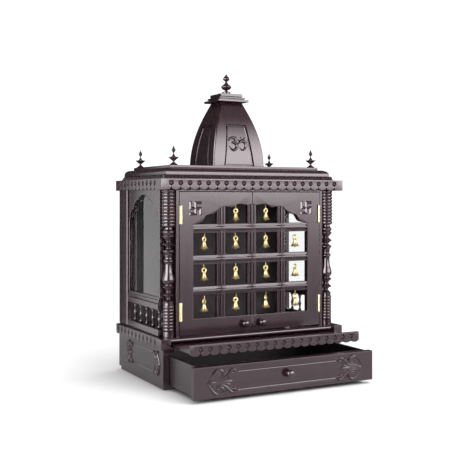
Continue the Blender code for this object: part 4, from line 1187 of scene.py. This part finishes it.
@dataclass
class Door:
    """Lattice door: plain frame with a cusped valance, moulded bars, swastik, knob and bells."""

    side: Side
    stile: float = 0.044
    rail: float = 0.0445
    bar: float = 0.027
    rib: float = 0.0068
    lowest: float = 0.0793
    pitch: float = 0.0915
    rows: int = 3
    shift: float = 0.00125
    recess: float = 0.0012
    rise: float = 0.059
    tuck: float = 0.004
    swastik_size: float = 0.041
    swastik_arm: float = 0.0088
    swastik_thickness: float = 0.0046
    swastik_ridge: float = 0.0040
    bell_setback: float = 0.002
    yaws: tuple[float, ...] = (38.0, -8.0, 14.0, -26.0, 30.0, -18.0, 8.0)
    leans: tuple[float, ...] = (0.002, 0.0, -0.002, 0.001, -0.001, 0.002, 0.0)
    lobes: tuple[tuple[Point, ...], ...] = (
        ((0.0, 1.0), (0.02, 0.955), (0.048, 0.932), (0.12, 0.955), (0.209, 0.993), (0.263, 0.966),
         (0.311, 0.864), (0.337, 0.797)),
        ((0.337, 0.797), (0.38, 0.826), (0.429, 0.854), (0.490, 0.869), (0.53, 0.84), (0.566, 0.78),
         (0.612, 0.636), (0.663, 0.483)),
        ((0.663, 0.483), (0.71, 0.476), (0.765, 0.454), (0.801, 0.373), (0.837, 0.178), (0.875, 0.085),
         (0.935, 0.025), (1.0, 0.0)))

    def __post_init__(self) -> None:
        """Read the leaf's place from the frame."""
        low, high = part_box("door_right")
        self.seam, self.edge = low[0], high[0]
        self.face, self.back = low[1], high[1]
        self.bottom, self.top = low[2], high[2]
        self.inner = self.edge - self.stile
        self.rail_top = self.bottom + self.rail
        self.bars = [self.rail_top + self.lowest + row * self.pitch for row in range(self.rows)]
        self.spring = self.bars[-1] + self.bar / 2
        self.middle = (self.bar / 2 + self.inner) / 2 - self.shift

    def valance(self) -> list[Point]:
        """Lower edge of the valance.

        Returns:
            Points from the seam to the stile.
        """
        points = []
        for lobe in self.lobes:
            points += smooth_path([(max(share * self.inner, self.seam), self.spring + self.rise * up)
                                   for share, up in lobe], 4)
        return points

    def board(self) -> bmesh.types.BMesh:
        """Stile, bottom rail and valance in one flat frame.

        Returns:
            The frame in place, for the right side.
        """
        edge = self.valance()
        outline = [(self.seam, self.bottom), (self.edge, self.bottom), (self.edge, self.top),
                   (self.seam, self.top), edge[0]]
        outline += [point for point, before in zip(edge[1:], edge)
                    if (Vector(point) - Vector(before)).length > TOUCH]
        outline += [(self.inner, self.rail_top), (self.seam, self.rail_top)]
        return moved(eased_slab(outline, self.back - self.face, 0.0010), (0.0, self.face, 0.0))

    def section(self) -> list[Point]:
        """Half profile of a bar: rib, quirk and bevelled edge.

        Returns:
            Points of distance from the middle and depth.
        """
        rib, half = self.rib / 2, self.bar / 2
        quirk = rib + 0.0040
        return [(rib - 0.0014, 0.0), (rib - 0.0004, 0.0004), (rib, 0.0012), (rib + 0.0008, 0.0050),
                (quirk - 0.0012, 0.0052), (quirk - 0.0002, 0.0012), (quirk + 0.0003, 0.0006),
                (half - 0.0007, 0.0018), (half - 0.0001, 0.0024), (half, 0.0040)]

    def bar_shape(self, start: float, end: float, whole: bool = True) -> bmesh.types.BMesh:
        """Straight moulded bar along X, its middle on z 0 and its rib at y 0.

        Args:
            start: Where it starts.
            end: Where it ends.
            whole: False for the upper half alone.

        Returns:
            The bar.
        """
        depth = self.back - self.face - self.recess
        half = self.section()
        upper = [*half, (self.bar / 2, depth)]
        lower = [(0.0, depth), (0.0, 0.0)]
        if whole:
            lower = [(-across, deep) for across, deep in reversed(upper)]
        shape = bmesh.new()
        verts = [shape.verts.new((start, deep, across)) for across, deep in upper + lower]
        face = shape.faces.new(verts)
        grown = bmesh.ops.extrude_face_region(shape, geom=[face], use_keep_orig=True)
        ends = [item for item in grown["geom"] if isinstance(item, bmesh.types.BMVert)]
        bmesh.ops.translate(shape, verts=ends, vec=(end - start, 0.0, 0.0))
        return shape

    def lattice(self) -> bmesh.types.BMesh:
        """All bars of the leaf.

        Returns:
            The bars in place, for the right side.
        """
        depth = self.face + self.recess
        level = self.bar_shape(self.seam, self.inner + self.tuck)
        parts = [moved(level.copy(), (0.0, depth, height)) for height in self.bars]
        level.free()
        upright = Matrix.Rotation(math.pi / 2, 3, "Y")
        low, high = self.rail_top - self.tuck, self.spring + self.rise
        parts.append(moved(self.bar_shape(-high, -low), (self.middle, depth, 0.0), upright))
        parts.append(moved(self.bar_shape(-high, -low, False), (self.seam - 0.0006, depth, 0.0), upright))
        return joined(*parts)

    def swastik(self) -> bmesh.types.BMesh:
        """Traditional right-facing swastik with ridged arms.

        Returns:
            The ornament about the origin, its back at its thickness.
        """
        half, arm = self.swastik_size / 2, self.swastik_arm / 2
        quarter = [(-arm, arm), (-arm, half), (half, half), (half, half - 2 * arm), (arm, half - 2 * arm)]
        points = []
        for turn in range(4):
            cosine, sine = round(math.cos(turn * math.pi / 2)), round(math.sin(turn * math.pi / 2))
            points += [(x * cosine + z * sine, z * cosine - x * sine) for x, z in quarter]
        return eased_slab(points, self.swastik_thickness, self.swastik_ridge, 1)

    def hanging_points(self) -> list[tuple[int, int, Vector]]:
        """Where the bells hang.

        Returns:
            Row from the top, column from the seam and place of each bell, on the right side.
        """
        depth = (self.face + self.back) / 2 + self.bell_setback
        lefts = [self.middle / 2, (self.middle + self.bar / 2 + self.inner) / 2]
        places = []
        for column, centre in enumerate(lefts):
            for row, height in enumerate(self.bars):
                places.append((self.rows + 1 - row, column, Vector((centre, depth, height - self.bar / 2))))
        crown = min(height for along, height in self.valance() if abs(along - lefts[0]) < 0.004)
        places.append((1, 0, Vector((lefts[0], depth, crown))))
        return places

    def build(self) -> None:
        """Leaf, lattice, swastik, knob and bells."""
        word, sign = self.side.word, self.side.value
        body = Body("door_" + word)
        leaf = on_side(joined(self.board(), self.lattice()), self.side)
        place_piece("door_leaf_" + word, leaf, WOOD_UP, "door_" + word, body)
        low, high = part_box("swastik_" + word)
        place = ((low[0] + high[0]) / 2, high[1] - self.swastik_thickness, (low[2] + high[2]) / 2)
        place_piece("swastik_ridged_" + word, moved(self.swastik(), place), CARVED, "swastik_" + word, body)
        low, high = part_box("door_knob_" + word)
        knob = Knob((high[0] - low[0]) / 2, high[1] - low[1]).shape()
        place_piece("door_knob_turned_" + word,
                    moved(knob, ((low[0] + high[0]) / 2, high[1], (low[2] + high[2]) / 2)), TURNED,
                    "door_knob_" + word, body)
        for number, (row, column, place) in enumerate(self.hanging_points()):
            column_number = 2 - column if self.side is Side.LEFT else column + 3
            bell = Bell().shape(self.yaws[number % len(self.yaws)] * sign,
                                self.leans[number % len(self.leans)])
            node = "bell_row%d_column%d" % (row, column_number)
            place_piece("brass_" + node, moved(bell, (sign * place.x, place.y, place.z)), BELL_BRASS, node,
                        body, crease=50.0)


@dataclass
class Hinge:
    """Brass butt hinge with five knuckles and ball tips."""

    side: Side
    level: str
    radius: float = 0.0034
    leaf: float = 0.0008
    knuckles: int = 5
    tip: float = 0.0022
    margin: float = 0.0020
    tongue_margin: float = 0.0022
    groove: float = 0.86
    groove_bevel: float = 0.0005

    def build(self) -> None:
        """Barrel, leaf and its bent tongue."""
        node = "hinge_%s_%s" % (self.side.word, self.level)
        low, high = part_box("hinge_right_" + self.level)
        centre = (low[0] + self.radius, low[1] + self.radius)
        length = high[2] - low[2]
        tip, ball = self.tip, self.radius * 0.8
        turns = [math.pi / 2 * number / 4 for number in range(5)]
        profile = [(0.0, low[2])] + [(ball * math.sin(turn), low[2] + tip * (1 - math.cos(turn)))
                                     for turn in turns[1:]]
        step = (length - 2 * tip) / self.knuckles
        for number in range(self.knuckles):
            start = low[2] + tip + number * step
            profile += [(self.radius * self.groove, start), (self.radius, start + self.groove_bevel),
                        (self.radius, start + step - self.groove_bevel),
                        (self.radius * self.groove, start + step)]
        profile += [(ball * math.cos(turn), high[2] - tip * (1 - math.sin(turn))) for turn in turns[:4]]
        profile.append((0.0, high[2]))
        barrel = moved(turned(profile, 20), (*centre, 0.0))
        face = centre[1] + self.radius
        plate = block(Vector((centre[0], face - self.leaf, low[2] + self.margin)),
                      Vector((high[0], face, high[2] - self.margin)), 0.0001, 1)
        tongue = block(Vector((high[0] - self.leaf, face - self.leaf / 2, low[2] + self.tongue_margin)),
                       Vector((high[0] - 0.0001, high[1], high[2] - self.tongue_margin)), 0.0001, 1)
        hinge = on_side(joined(barrel, plate, tongue), self.side)
        place_piece("brass_" + node, hinge, HINGE_BRASS, node)


@dataclass
class Cornice:
    """Scalloped cornice boards, bead course, quarter-round and top board."""

    board_thickness: float = 0.011
    lead: float = 0.032
    side_rear: float = 0.020
    side_front: float = 0.0458
    bead_pitch: float = 0.0112
    bead_height: float = 0.0128
    bead_size: Place = (0.0086, 0.0110, 0.0124)
    bead_lean: float = 0.0078
    quarter_step: float = 0.0125
    quarter_height: float = 0.0195
    band_height: float = 0.00507
    band_lean: float = 0.0009

    def build_boards(self) -> None:
        """Front board between two side boards."""
        low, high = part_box("cornice_boards")
        roof_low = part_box("roof_board")[0]
        front = roof_low[1] - GAP - self.board_thickness
        outer = -(roof_low[0] - GAP - self.board_thickness)
        height = high[2] - low[2]
        board = ScallopedBoard(2 * outer, height, self.board_thickness, self.lead, self.lead)
        parts = [moved(board.shape(), (-outer, front, low[2]))]
        for side in Side:
            start = front + self.board_thickness
            flank = ScallopedBoard(high[1] - start, height, self.board_thickness,
                                   self.side_front - self.board_thickness, self.side_rear)
            shape = moved(flank.shape(), (outer, start, low[2]), TO_SIDE)
            parts.append(on_side(shape, side))
        place_piece("cornice_scalloped", joined(*parts), CARVED, "cornice_boards")

    def crown(self, half: float, front: float, back: float, levels: list[Point]) -> bmesh.types.BMesh:
        """Stack that stands back on three sides, flush behind.

        Args:
            half: Half width at the foot.
            front: Front at the foot.
            back: Back plane.
            levels: Inset from the foot and height of each level.

        Returns:
            The stack.
        """
        shape = bmesh.new()
        corners = [shape.verts.new((x, y, levels[0][1])) for x, y in
                   ((-half, front), (half, front), (half, back), (-half, back))]
        face = [shape.faces.new(corners)]
        for number, ((before, low), (inset, height)) in enumerate(zip(levels, levels[1:])):
            grown = bmesh.ops.extrude_face_region(shape, geom=face, use_keep_orig=number == 0)
            verts = [item for item in grown["geom"] if isinstance(item, bmesh.types.BMVert)]
            face = [item for item in grown["geom"] if isinstance(item, bmesh.types.BMFace)]
            bmesh.ops.translate(shape, verts=verts, vec=(0.0, 0.0, height - low))
            squeeze = ((half - inset) / (half - before), (back - front - inset) / (back - front - before),
                       1.0)
            bmesh.ops.scale(shape, verts=verts, vec=squeeze, space=Matrix.Translation((0.0, -back, 0.0)))
        return shape

    def build_moulding(self) -> None:
        """Bead course under the quarter-round."""
        low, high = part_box("cornice_moulding")
        half, front, back, floor = high[0], low[1], high[1], low[2]
        step, rebate, band = floor + self.bead_height, self.quarter_step + 0.0022, self.band_height
        lean = self.quarter_step + self.band_lean
        levels = [(0.0040, floor), (0.0050, floor + 0.0022), (rebate, step - 0.0016), (rebate, step),
                  (self.quarter_step, step + 0.0004), (lean, step + band)]
        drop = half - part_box("cornice_top_board")[1][0] - lean
        for number in range(1, 10):
            angle = math.pi / 2 * number / 9
            levels.append((lean + drop * (1 - math.cos(angle) ** 0.9),
                           step + band + (self.quarter_height - band) * math.sin(angle)))
        parts = [self.crown(half, front, back, levels), *self.beads(half, front, back, floor)]
        place_piece("cornice_crown", joined(*parts), CARVED, "cornice_moulding", crease=40.0)

    def bead(self) -> bmesh.types.BMesh:
        """Small rounded block that leans back.

        Returns:
            The block, its foot at the origin and its front towards -Y.
        """
        wide, deep, tall = self.bead_size
        shape = block(Vector((-wide / 2, 0.0, 0.0)), Vector((wide / 2, deep, tall)), 0.0020)
        for vert in shape.verts:
            vert.co.y += self.bead_lean * (vert.co.z / tall) ** 1.7
        return shape

    def beads(self, half: float, front: float, back: float, floor: float) -> list[bmesh.types.BMesh]:
        """Blocks along the front and both sides.

        Args:
            half: Half width of the course.
            front: Front of the course.
            back: Back plane.
            floor: Foot of the course.

        Returns:
            The blocks.
        """
        blocks = []
        count = round(2 * half / self.bead_pitch)
        for number in range(count):
            along = -half + 2 * half * (number + 0.5) / count
            blocks.append(moved(self.bead(), (along, front, floor)))
        run = back - front
        count = round(run / self.bead_pitch)
        for side in Side:
            for number in range(1, count):
                shape = moved(self.bead(), (half, front + run * (number + 0.5) / count, floor), TO_SIDE)
                blocks.append(on_side(shape, side))
        return blocks

    def build(self) -> None:
        """Build the whole cornice."""
        self.build_boards()
        self.build_moulding()
        place_piece("top_board_plain", softened("cornice_top_board", 0.0014, 3), WOOD_ACROSS,
                    "cornice_top_board")


@dataclass(frozen=True)
class Stroke:
    """Stroke of the om in shares of its half sizes, with its start, middle and end widths."""

    points: tuple[Point, ...]
    widths: Place


OM = (
    Stroke(((-0.98, 0.44), (-0.86, 0.66), (-0.60, 0.80), (-0.34, 0.78), (-0.22, 0.62), (-0.24, 0.40),
            (-0.40, 0.22), (-0.66, 0.16)), (0.13, 0.21, 0.12)),
    Stroke(((-0.66, 0.16), (-0.40, 0.12), (-0.20, -0.08), (-0.14, -0.38), (-0.28, -0.70), (-0.52, -0.86),
            (-0.76, -0.74), (-1.0, -0.28)), (0.12, 0.23, 0.04)),
    Stroke(((-0.22, 0.10), (0.02, 0.06), (0.20, 0.22), (0.42, 0.40), (0.70, 0.32), (0.84, 0.0),
            (0.80, -0.46), (0.54, -0.80), (0.30, -0.76), (0.14, -0.44)), (0.08, 0.21, 0.04)),
    Stroke(((0.02, 0.58), (0.20, 0.44), (0.46, 0.48), (0.66, 0.66), (0.80, 0.92)), (0.03, 0.16, 0.03)),
    Stroke(((-0.12, 0.86), (-0.16, 0.98), (-0.14, 1.0)), (0.05, 0.07, 0.03)),
)


@dataclass
class Dome:
    """Four-sided curved dome with recessed panels, om and stepped cap."""

    half: float = 0.0885
    top_half: float = 0.036
    bulge: float = 1.95
    levels: int = 28
    panel_top: float = 0.638
    panel_widths: Point = (0.054, 0.0354)
    panel_steps: tuple[Point, ...] = ((0.0005, -0.0050), (0.0042, 0.0), (0.0005, 0.0034), (0.0008, 0.0012),
                                      (0.0012, 0.0), (0.0008, -0.0012))
    recess: float = 0.0016
    corner_ease: float = 0.0040
    om_width: float = 0.064
    om_height: float = 0.046
    om_lift: float = 0.0487
    dot_radius: float = 0.0026
    dot_place: Point = (0.36, 0.86)
    cap_steps: tuple[Place, ...] = ((1.0, 0.0, 0.26), (0.80, 0.24, 0.40), (0.85, 0.39, 0.57),
                                    (0.68, 0.55, 0.67), (0.726, 0.66, 1.0))

    def __post_init__(self) -> None:
        """Read the dome's place from the frame."""
        low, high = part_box("dome")
        self.base, self.height = low[2], high[2] - low[2]
        self.centre = (low[1] + high[1]) / 2

    def reach(self, share: float) -> float:
        """Half width at a share of the height."""
        return self.half - (self.half - self.top_half) * share ** self.bulge

    def panel_reach(self, share: float) -> float:
        """Half width of a face's panel at a share of the dome's height."""
        foot, head = self.panel_widths
        return foot + (head - foot) * min(share / self.panel_top, 1.0)

    def shell(self) -> bmesh.types.BMesh:
        """Dome with its recessed panels, base on the origin.

        Returns:
            The dome.
        """
        shape = bmesh.new()
        bmesh.ops.create_grid(shape, x_segments=16, y_segments=self.levels, size=1.0)
        cut = self.panel_top * 2 - 1
        nearest = min({round(vert.co.y, 5) for vert in shape.verts}, key=lambda height: abs(height - cut))
        mark = sorted({round(vert.co.x, 5) for vert in shape.verts})[12]
        panel = [face for face in shape.faces if abs(face.calc_center_median().x) < mark
                 and face.calc_center_median().y < nearest]
        for vert in shape.verts:
            across, share = vert.co.x, (vert.co.y + 1) / 2
            half, edge = self.reach(share), self.panel_reach(share)
            if abs(across) <= mark + 1e-4:
                along = across / mark * edge
            else:
                along = math.copysign(edge + (half - edge) * (abs(across) - mark) / (1 - mark), across)
            vert.co = (along, -half, share * self.height)
        bmesh.ops.recalc_face_normals(shape, faces=shape.faces[:])
        if shape.faces[0].normal.y > 0:
            bmesh.ops.reverse_faces(shape, faces=shape.faces[:])
        for width, rise in self.panel_steps:
            bmesh.ops.inset_region(shape, faces=panel, use_boundary=True, use_even_offset=False,
                                   thickness=width, depth=rise)
        quarters = [Matrix.Rotation(turn * math.pi / 2, 3, "Z") for turn in range(1, 4)]
        whole = joined(shape, *[moved(shape.copy(), (0, 0, 0), quarter) for quarter in quarters])
        bmesh.ops.remove_doubles(whole, verts=whole.verts[:], dist=TOUCH)
        bmesh.ops.holes_fill(whole, edges=[edge for edge in whole.edges if edge.is_boundary], sides=0)
        corners = [edge for edge in whole.edges if all(abs(abs(vert.co.x) - abs(vert.co.y)) < TOUCH
                                                       and abs(vert.co.x) > 0.03 for vert in edge.verts)
                   and abs(edge.verts[0].co.z - edge.verts[1].co.z) > 1e-4]
        bmesh.ops.bevel(whole, geom=corners, affect="EDGES", offset=self.corner_ease, segments=4,
                        profile=0.5, material=-1)
        return whole

    def om(self) -> bmesh.types.BMesh:
        """Raised om bent to the front panel.

        Returns:
            The om in place.
        """
        wide, tall = self.om_width / 2, self.om_height / 2
        parts = []
        for stroke in OM:
            path = strand([(x * wide, z * tall) for x, z in stroke.points])
            radii = tapered(len(path), *(width * tall for width in stroke.widths))
            parts.append(swept(path, radii, 1.25, 10))
        dot = bmesh.new()
        bmesh.ops.create_icosphere(dot, subdivisions=2, radius=self.dot_radius)
        parts.append(moved(dot, (self.dot_place[0] * wide, 0.0, self.dot_place[1] * tall)))
        shape = joined(*parts)
        middle = self.om_lift + self.om_height / 2
        for vert in shape.verts:
            share = (vert.co.z + middle) / self.height
            vert.co.y -= self.reach(share) - self.recess
        return moved(shape, (0.0, self.centre, self.base + middle))

    def cap(self) -> bmesh.types.BMesh:
        """Stepped square cap with recessed necks.

        Returns:
            The cap in place.
        """
        low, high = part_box("dome_cap")
        rise = high[2] - low[2]
        parts = []
        for share, start, end in self.cap_steps:
            half = high[0] * share
            parts.append(block(Vector((-half, self.centre - half, low[2] + rise * start)),
                               Vector((half, self.centre + half, low[2] + rise * end)), 0.0010, 3))
        return joined(*parts)

    def build(self) -> None:
        """Build the dome and what stands on it."""
        place_piece("dome_panelled", moved(self.shell(), (0.0, self.centre, self.base)), WOOD_UP, "dome",
                    crease=24.0)
        place_piece("om_carved", self.om(), CARVED, "om_ornament", crease=60.0)
        place_piece("dome_cap_stepped", self.cap(), WOOD_ACROSS, "dome_cap")


@dataclass
class Finials:
    """Turned top finial and four corner finials with fluted discs."""

    top: tuple[Point, ...] = (
        (0.78, 0.0), (0.82, 0.02), (0.82, 0.11), (0.70, 0.14), (0.24, 0.18), (0.34, 0.22), (0.76, 0.27),
        (1.0, 0.363), (0.84, 0.43), (0.42, 0.51), (0.20, 0.60), (0.20, 0.63), (0.46, 0.68), (0.63, 0.745),
        (0.52, 0.82), (0.24, 0.90), (0.10, 0.96), (0.0, 1.0))
    corner: tuple[Point, ...] = (
        (0.74, 0.0), (0.75, 0.02), (0.46, 0.08), (0.20, 0.14), (0.16, 0.18), (0.26, 0.21), (0.60, 0.29),
        (0.97, 0.36), (1.0, 0.385), (0.90, 0.400), (0.42, 0.415), (0.28, 0.46), (0.18, 0.52), (0.11, 0.60),
        (0.22, 0.66), (0.38, 0.735), (0.28, 0.80), (0.16, 0.87), (0.06, 0.95), (0.0, 1.0))
    corner_flutes: int = 8
    flute_depth: float = 0.20

    def shape(self, node: str, points: tuple[Point, ...], flutes: int) -> bmesh.types.BMesh:
        """Turn a finial in the place of its node.

        Args:
            node: CAD node that gives its place and size.
            points: Profile in shares of radius and height.
            flutes: Flutes cut in its widest part, or 0 for none.

        Returns:
            The finial.
        """
        low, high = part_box(node)
        radius = (high[0] - low[0]) / 2
        height = high[2] - low[2]
        curve = smooth_path(list(points), 3)
        profile = [(0.0, 0.0)] + [(max(share, 0.0) * radius, rise * height) for share, rise in curve]
        shape = turned(profile, 48 if flutes else 32)
        if flutes:
            for vert in shape.verts:
                reach = math.hypot(vert.co.x, vert.co.y)
                if reach > 0.5 * radius and vert.co.z > 0.2 * height:
                    angle = math.atan2(vert.co.y, vert.co.x)
                    hollow = 0.5 - 0.5 * math.cos(flutes * angle)
                    cut = 1.0 - self.flute_depth * (reach / radius) ** 2 * hollow
                    vert.co.x *= cut
                    vert.co.y *= cut
        return moved(shape, ((low[0] + high[0]) / 2, (low[1] + high[1]) / 2, low[2]))

    def build(self) -> None:
        """Build all five finials."""
        place_piece("top_finial_turned", self.shape("dome_finial", self.top, 0), TURNED, "dome_finial",
                    crease=50.0)
        for corner in ("front_left", "front_right", "back_left", "back_right"):
            node = "corner_finial_" + corner
            place_piece(node + "_turned", self.shape(node, self.corner, self.corner_flutes), TURNED, node,
                        crease=50.0)


@dataclass(frozen=True)
class GlowBox:
    """Soft bank of light as reflections see it."""

    radiance: float
    azimuths: tuple[float, float, float, float]
    elevations: tuple[Point, ...]


class SkyNodes(Graph):
    """Node graph of the surroundings."""

    def __init__(self, tree: bpy.types.NodeTree) -> None:
        """Start with the azimuth from the front and the elevation of a direction, in degrees.

        Args:
            tree: Tree of the world.
        """
        super().__init__(tree)
        split = self.add("SeparateXYZ", Vector=self.add("TexCoord").outputs["Generated"])
        across, deep, up = split.outputs
        around = self.math("ARCTAN2", across, self.math("MULTIPLY", deep, -1.0))
        self.azimuth = self.math("MULTIPLY", around, math.degrees(1.0))
        self.elevation = self.math("MULTIPLY", self.math("ARCSINE", up), math.degrees(1.0))

    def math(self, operation: str, *values: bpy.types.NodeSocket | float) -> bpy.types.NodeSocket:
        """Add a math node.

        Args:
            operation: What it works out.
            values: Values or outputs that it reads.

        Returns:
            Its result.
        """
        node = self.add("Math")
        node.operation = operation
        for socket, value in zip(node.inputs, values):
            if isinstance(value, bpy.types.NodeSocket):
                self.tree.links.new(value, socket)
            else:
                socket.default_value = value
        return node.outputs[0]

    def step(self, value: bpy.types.NodeSocket, low: float, high: float) -> bpy.types.NodeSocket:
        """Add a smooth rise from 0 to 1.

        Args:
            value: Value that it reads.
            low: Value up to which it stays 0.
            high: Value from which it stays 1.

        Returns:
            The rise.
        """
        node = self.add("MapRange", Value=value, From_Min=low, From_Max=high)
        node.interpolation_type = "SMOOTHSTEP"
        return node.outputs["Result"]

    def profile(self, points: tuple[Point, ...]) -> bpy.types.NodeSocket:
        """Add a ramp over the elevation.

        Args:
            points: Elevation and share of each stop.

        Returns:
            The share at an elevation.
        """
        low, high = points[0][0], points[-1][0]
        place = self.add("MapRange", Value=self.elevation, From_Min=low, From_Max=high).outputs["Result"]
        return self.ramp(place, [((height - low) / (high - low), (share,) * 3) for height, share in points])

    def glow(self, boxes: tuple[GlowBox, ...], ahead: float, behind: float) -> bpy.types.NodeSocket:
        """Add all banks of light over the dim room.

        Args:
            boxes: Banks of light.
            ahead: Radiance of the room in front of the cabinet.
            behind: Radiance of the room behind it.

        Returns:
            Radiance that reflections see.
        """
        turned_away = self.step(self.math("ABSOLUTE", self.azimuth), 90.0, 120.0)
        total = self.math("ADD", ahead, self.math("MULTIPLY", turned_away, behind - ahead))
        for box in boxes:
            low, full, drop, end = box.azimuths
            window = self.math("SUBTRACT", self.step(self.azimuth, low, full),
                               self.step(self.azimuth, drop, end))
            share = self.math("MULTIPLY", window, self.profile(box.elevations))
            total = self.math("ADD", total, self.math("MULTIPLY", share, box.radiance))
        return total

    def finish(self, seen: bpy.types.NodeSocket, shade: bpy.types.NodeSocket, backdrop: float) -> None:
        """Mix what is seen directly with what lights and reflects.

        Args:
            seen: 1 for rays that look straight at the backdrop.
            shade: Radiance for all other rays.
            backdrop: Radiance of the backdrop.
        """
        white = (1.0, 1.0, 1.0, 1.0)
        mix = self.add("MixShader", Fac=seen)
        for number, strength in ((1, shade), (2, backdrop)):
            light = self.add("Background", Color=white, Strength=strength)
            self.tree.links.new(light.outputs["Background"], mix.inputs[number])
        self.add("OutputWorld", Surface=mix.outputs["Shader"])


@dataclass
class Studio:
    """Camera, softboxes, backdrop card, floor and surroundings."""

    image: float = 474.0
    focal: float = 850.0
    horizon: float = 199.45
    camera_place: Place = (-1.2382, -2.407, 0.5428)
    azimuth: float = 27.853
    fill: float = 0.55
    backdrop: float = 1.15
    mirror: float = 0.13
    mirror_behind: float = 0.05
    boxes: tuple[GlowBox, ...] = (
        GlowBox(6.6, (-10.0, 12.0, 54.0, 76.0),
                ((-12.0, 0.03), (-8.7, 0.04), (-5.5, 0.08), (-2.7, 0.155), (0.2, 0.31), (1.2, 0.72),
                 (4.0, 1.05), (16.0, 1.0), (24.0, 0.72), (33.0, 0.25), (39.0, 0.02))),
        GlowBox(9.5, (-112.0, -98.0, -50.0, -38.0), ((-14.0, 0.0), (-8.0, 1.0), (34.0, 1.0), (42.0, 0.0))))
    heart: Place = (0.0, -0.1, 0.5)
    softbox_toward: Place = (20.0, 25.0, 3.0)
    softbox_size: Point = (2.4, 1.5)
    softbox_radiance: float = 4.0
    sun_toward: Place = (0.35, -0.15, 1.0)
    sun_energy: float = 2.0
    sun_spread: float = 60.0
    card_ends: tuple[Point, Point] = ((-1.33, 0.244), (-0.5555, 0.70))
    card_heights: Point = (-0.1, 1.3)
    card_strength: float = 1.25
    floor_half: float = 14.0
    floor_tone: float = 0.90
    near_half: float = 1.05
    near_tone: float = 0.46
    near_lift: float = 0.0003

    def build_camera(self) -> None:
        """Level camera at the photograph's angle."""
        data = bpy.data.cameras.new("studio_camera")
        data.sensor_width = 36.0
        data.lens = self.focal / self.image * data.sensor_width
        data.shift_y = -(self.image / 2 - self.horizon) / self.image
        camera = bpy.data.objects.new("studio_camera", data)
        camera.location = self.camera_place
        camera.rotation_euler = (math.pi / 2, 0.0, -math.radians(self.azimuth))
        bpy.context.collection.objects.link(camera)
        bpy.context.scene.camera = camera

    def build_lamps(self) -> None:
        """Softbox at the front and very soft even light from above; no reflection shows either."""
        heart = Vector(self.heart)
        azimuth, elevation, distance = self.softbox_toward
        around, up = math.radians(azimuth), math.radians(elevation)
        ahead = Vector((math.sin(around) * math.cos(up), -math.cos(around) * math.cos(up), math.sin(up)))
        softbox = bpy.data.lights.new("front_softbox", "AREA")
        softbox.shape = "RECTANGLE"
        softbox.size, softbox.size_y = self.softbox_size
        softbox.energy = self.softbox_radiance * math.pi * softbox.size * softbox.size_y
        sun = bpy.data.lights.new("even_sun", "SUN")
        sun.energy = self.sun_energy
        sun.angle = math.radians(self.sun_spread)
        for data, place, toward in ((softbox, heart + ahead * distance, ahead),
                                    (sun, Vector(), Vector(self.sun_toward))):
            lamp = bpy.data.objects.new(data.name, data)
            lamp.location = place
            lamp.rotation_euler = toward.to_track_quat("Z", "Y").to_euler()
            lamp.visible_glossy = False
            bpy.context.collection.objects.link(lamp)

    def sheet(self, name: str, shape: bmesh.types.BMesh, finish: Finish) -> bpy.types.Object:
        """Add a flat sheet to the studio.

        Args:
            name: Name of the sheet.
            shape: Its face; it is freed here.
            finish: Finish of the sheet.

        Returns:
            The sheet.
        """
        mesh = bpy.data.meshes.new(name)
        shape.to_mesh(mesh)
        shape.free()
        mesh.materials.append(finish.material())
        sheet = bpy.data.objects.new(name, mesh)
        bpy.context.collection.objects.link(sheet)
        return sheet

    def build_card(self) -> None:
        """Glowing card behind the side glass that only reflections and light see."""
        (left, right), (low, high) = self.card_ends, self.card_heights
        shape = bmesh.new()
        shape.faces.new([shape.verts.new(corner) for corner in
                         ((*left, low), (*right, low), (*right, high), (*left, high))])
        card = self.sheet("backdrop_card", shape, Glow("backdrop_glow", self.card_strength))
        card.visible_camera = False
        card.visible_transmission = False
        card.visible_shadow = False

    def build_floor(self) -> None:
        """Plain pale floor; reflections see only its part near the cabinet."""
        floors = []
        for name, half, tone, height in (("studio_floor", self.floor_half, self.floor_tone, 0.0),
                                         ("studio_floor_near", self.near_half, self.near_tone,
                                          self.near_lift)):
            shape = bmesh.new()
            bmesh.ops.create_grid(shape, x_segments=1, y_segments=1, size=half)
            moved(shape, (0.0, 0.0, height))
            floors.append(self.sheet(name, shape, Paint(name + "_paint", tone)))
        wide, near = floors
        wide.visible_glossy = False
        wide.visible_transmission = False
        near.visible_camera = False
        near.visible_diffuse = False
        near.visible_shadow = False

    def build_surroundings(self) -> None:
        """White surroundings for the camera, even fill for shading, softbox glow for reflections."""
        world = bpy.data.worlds.new("studio_world")
        bpy.context.scene.world = world
        world.cycles.sampling_method = "NONE"
        world.use_nodes = True
        world.node_tree.nodes.clear()
        sky = SkyNodes(world.node_tree)
        rays = sky.add("LightPath")
        bounces = sky.math("ADD", rays.outputs["Glossy Depth"], rays.outputs["Diffuse Depth"])
        seen = sky.math("LESS_THAN", bounces, 0.5)
        mirrored = sky.math("GREATER_THAN", rays.outputs["Glossy Depth"], 0.5)
        glow = sky.glow(self.boxes, self.mirror, self.mirror_behind)
        shade = sky.math("ADD", sky.math("MULTIPLY", mirrored, glow),
                         sky.math("MULTIPLY", sky.math("SUBTRACT", 1.0, mirrored), self.fill))
        sky.finish(seen, shade, self.backdrop)

    def build(self) -> None:
        """Set the whole studio."""
        bpy.context.scene.view_settings.view_transform = "Standard"
        self.build_camera()
        self.build_floor()
        self.build_surroundings()
        self.build_lamps()
        self.build_card()


def main() -> None:
    """Build every sub-assembly in order, then the studio."""
    logging.basicConfig(level=logging.INFO, format="%(name)s: %(message)s")
    hinges = [Hinge(side, level) for side in Side for level in ("lower", "upper")]
    for assembly in (Base(), Tray(), Drawer(), Carcass(), SideWall(), Column(), Door(Side.LEFT),
                     Door(Side.RIGHT), *hinges, Cornice(), Dome(), Finials(), Studio()):
        LOG.info("building %s", type(assembly).__name__)
        assembly.build()


if __name__ == "__main__":
    main()
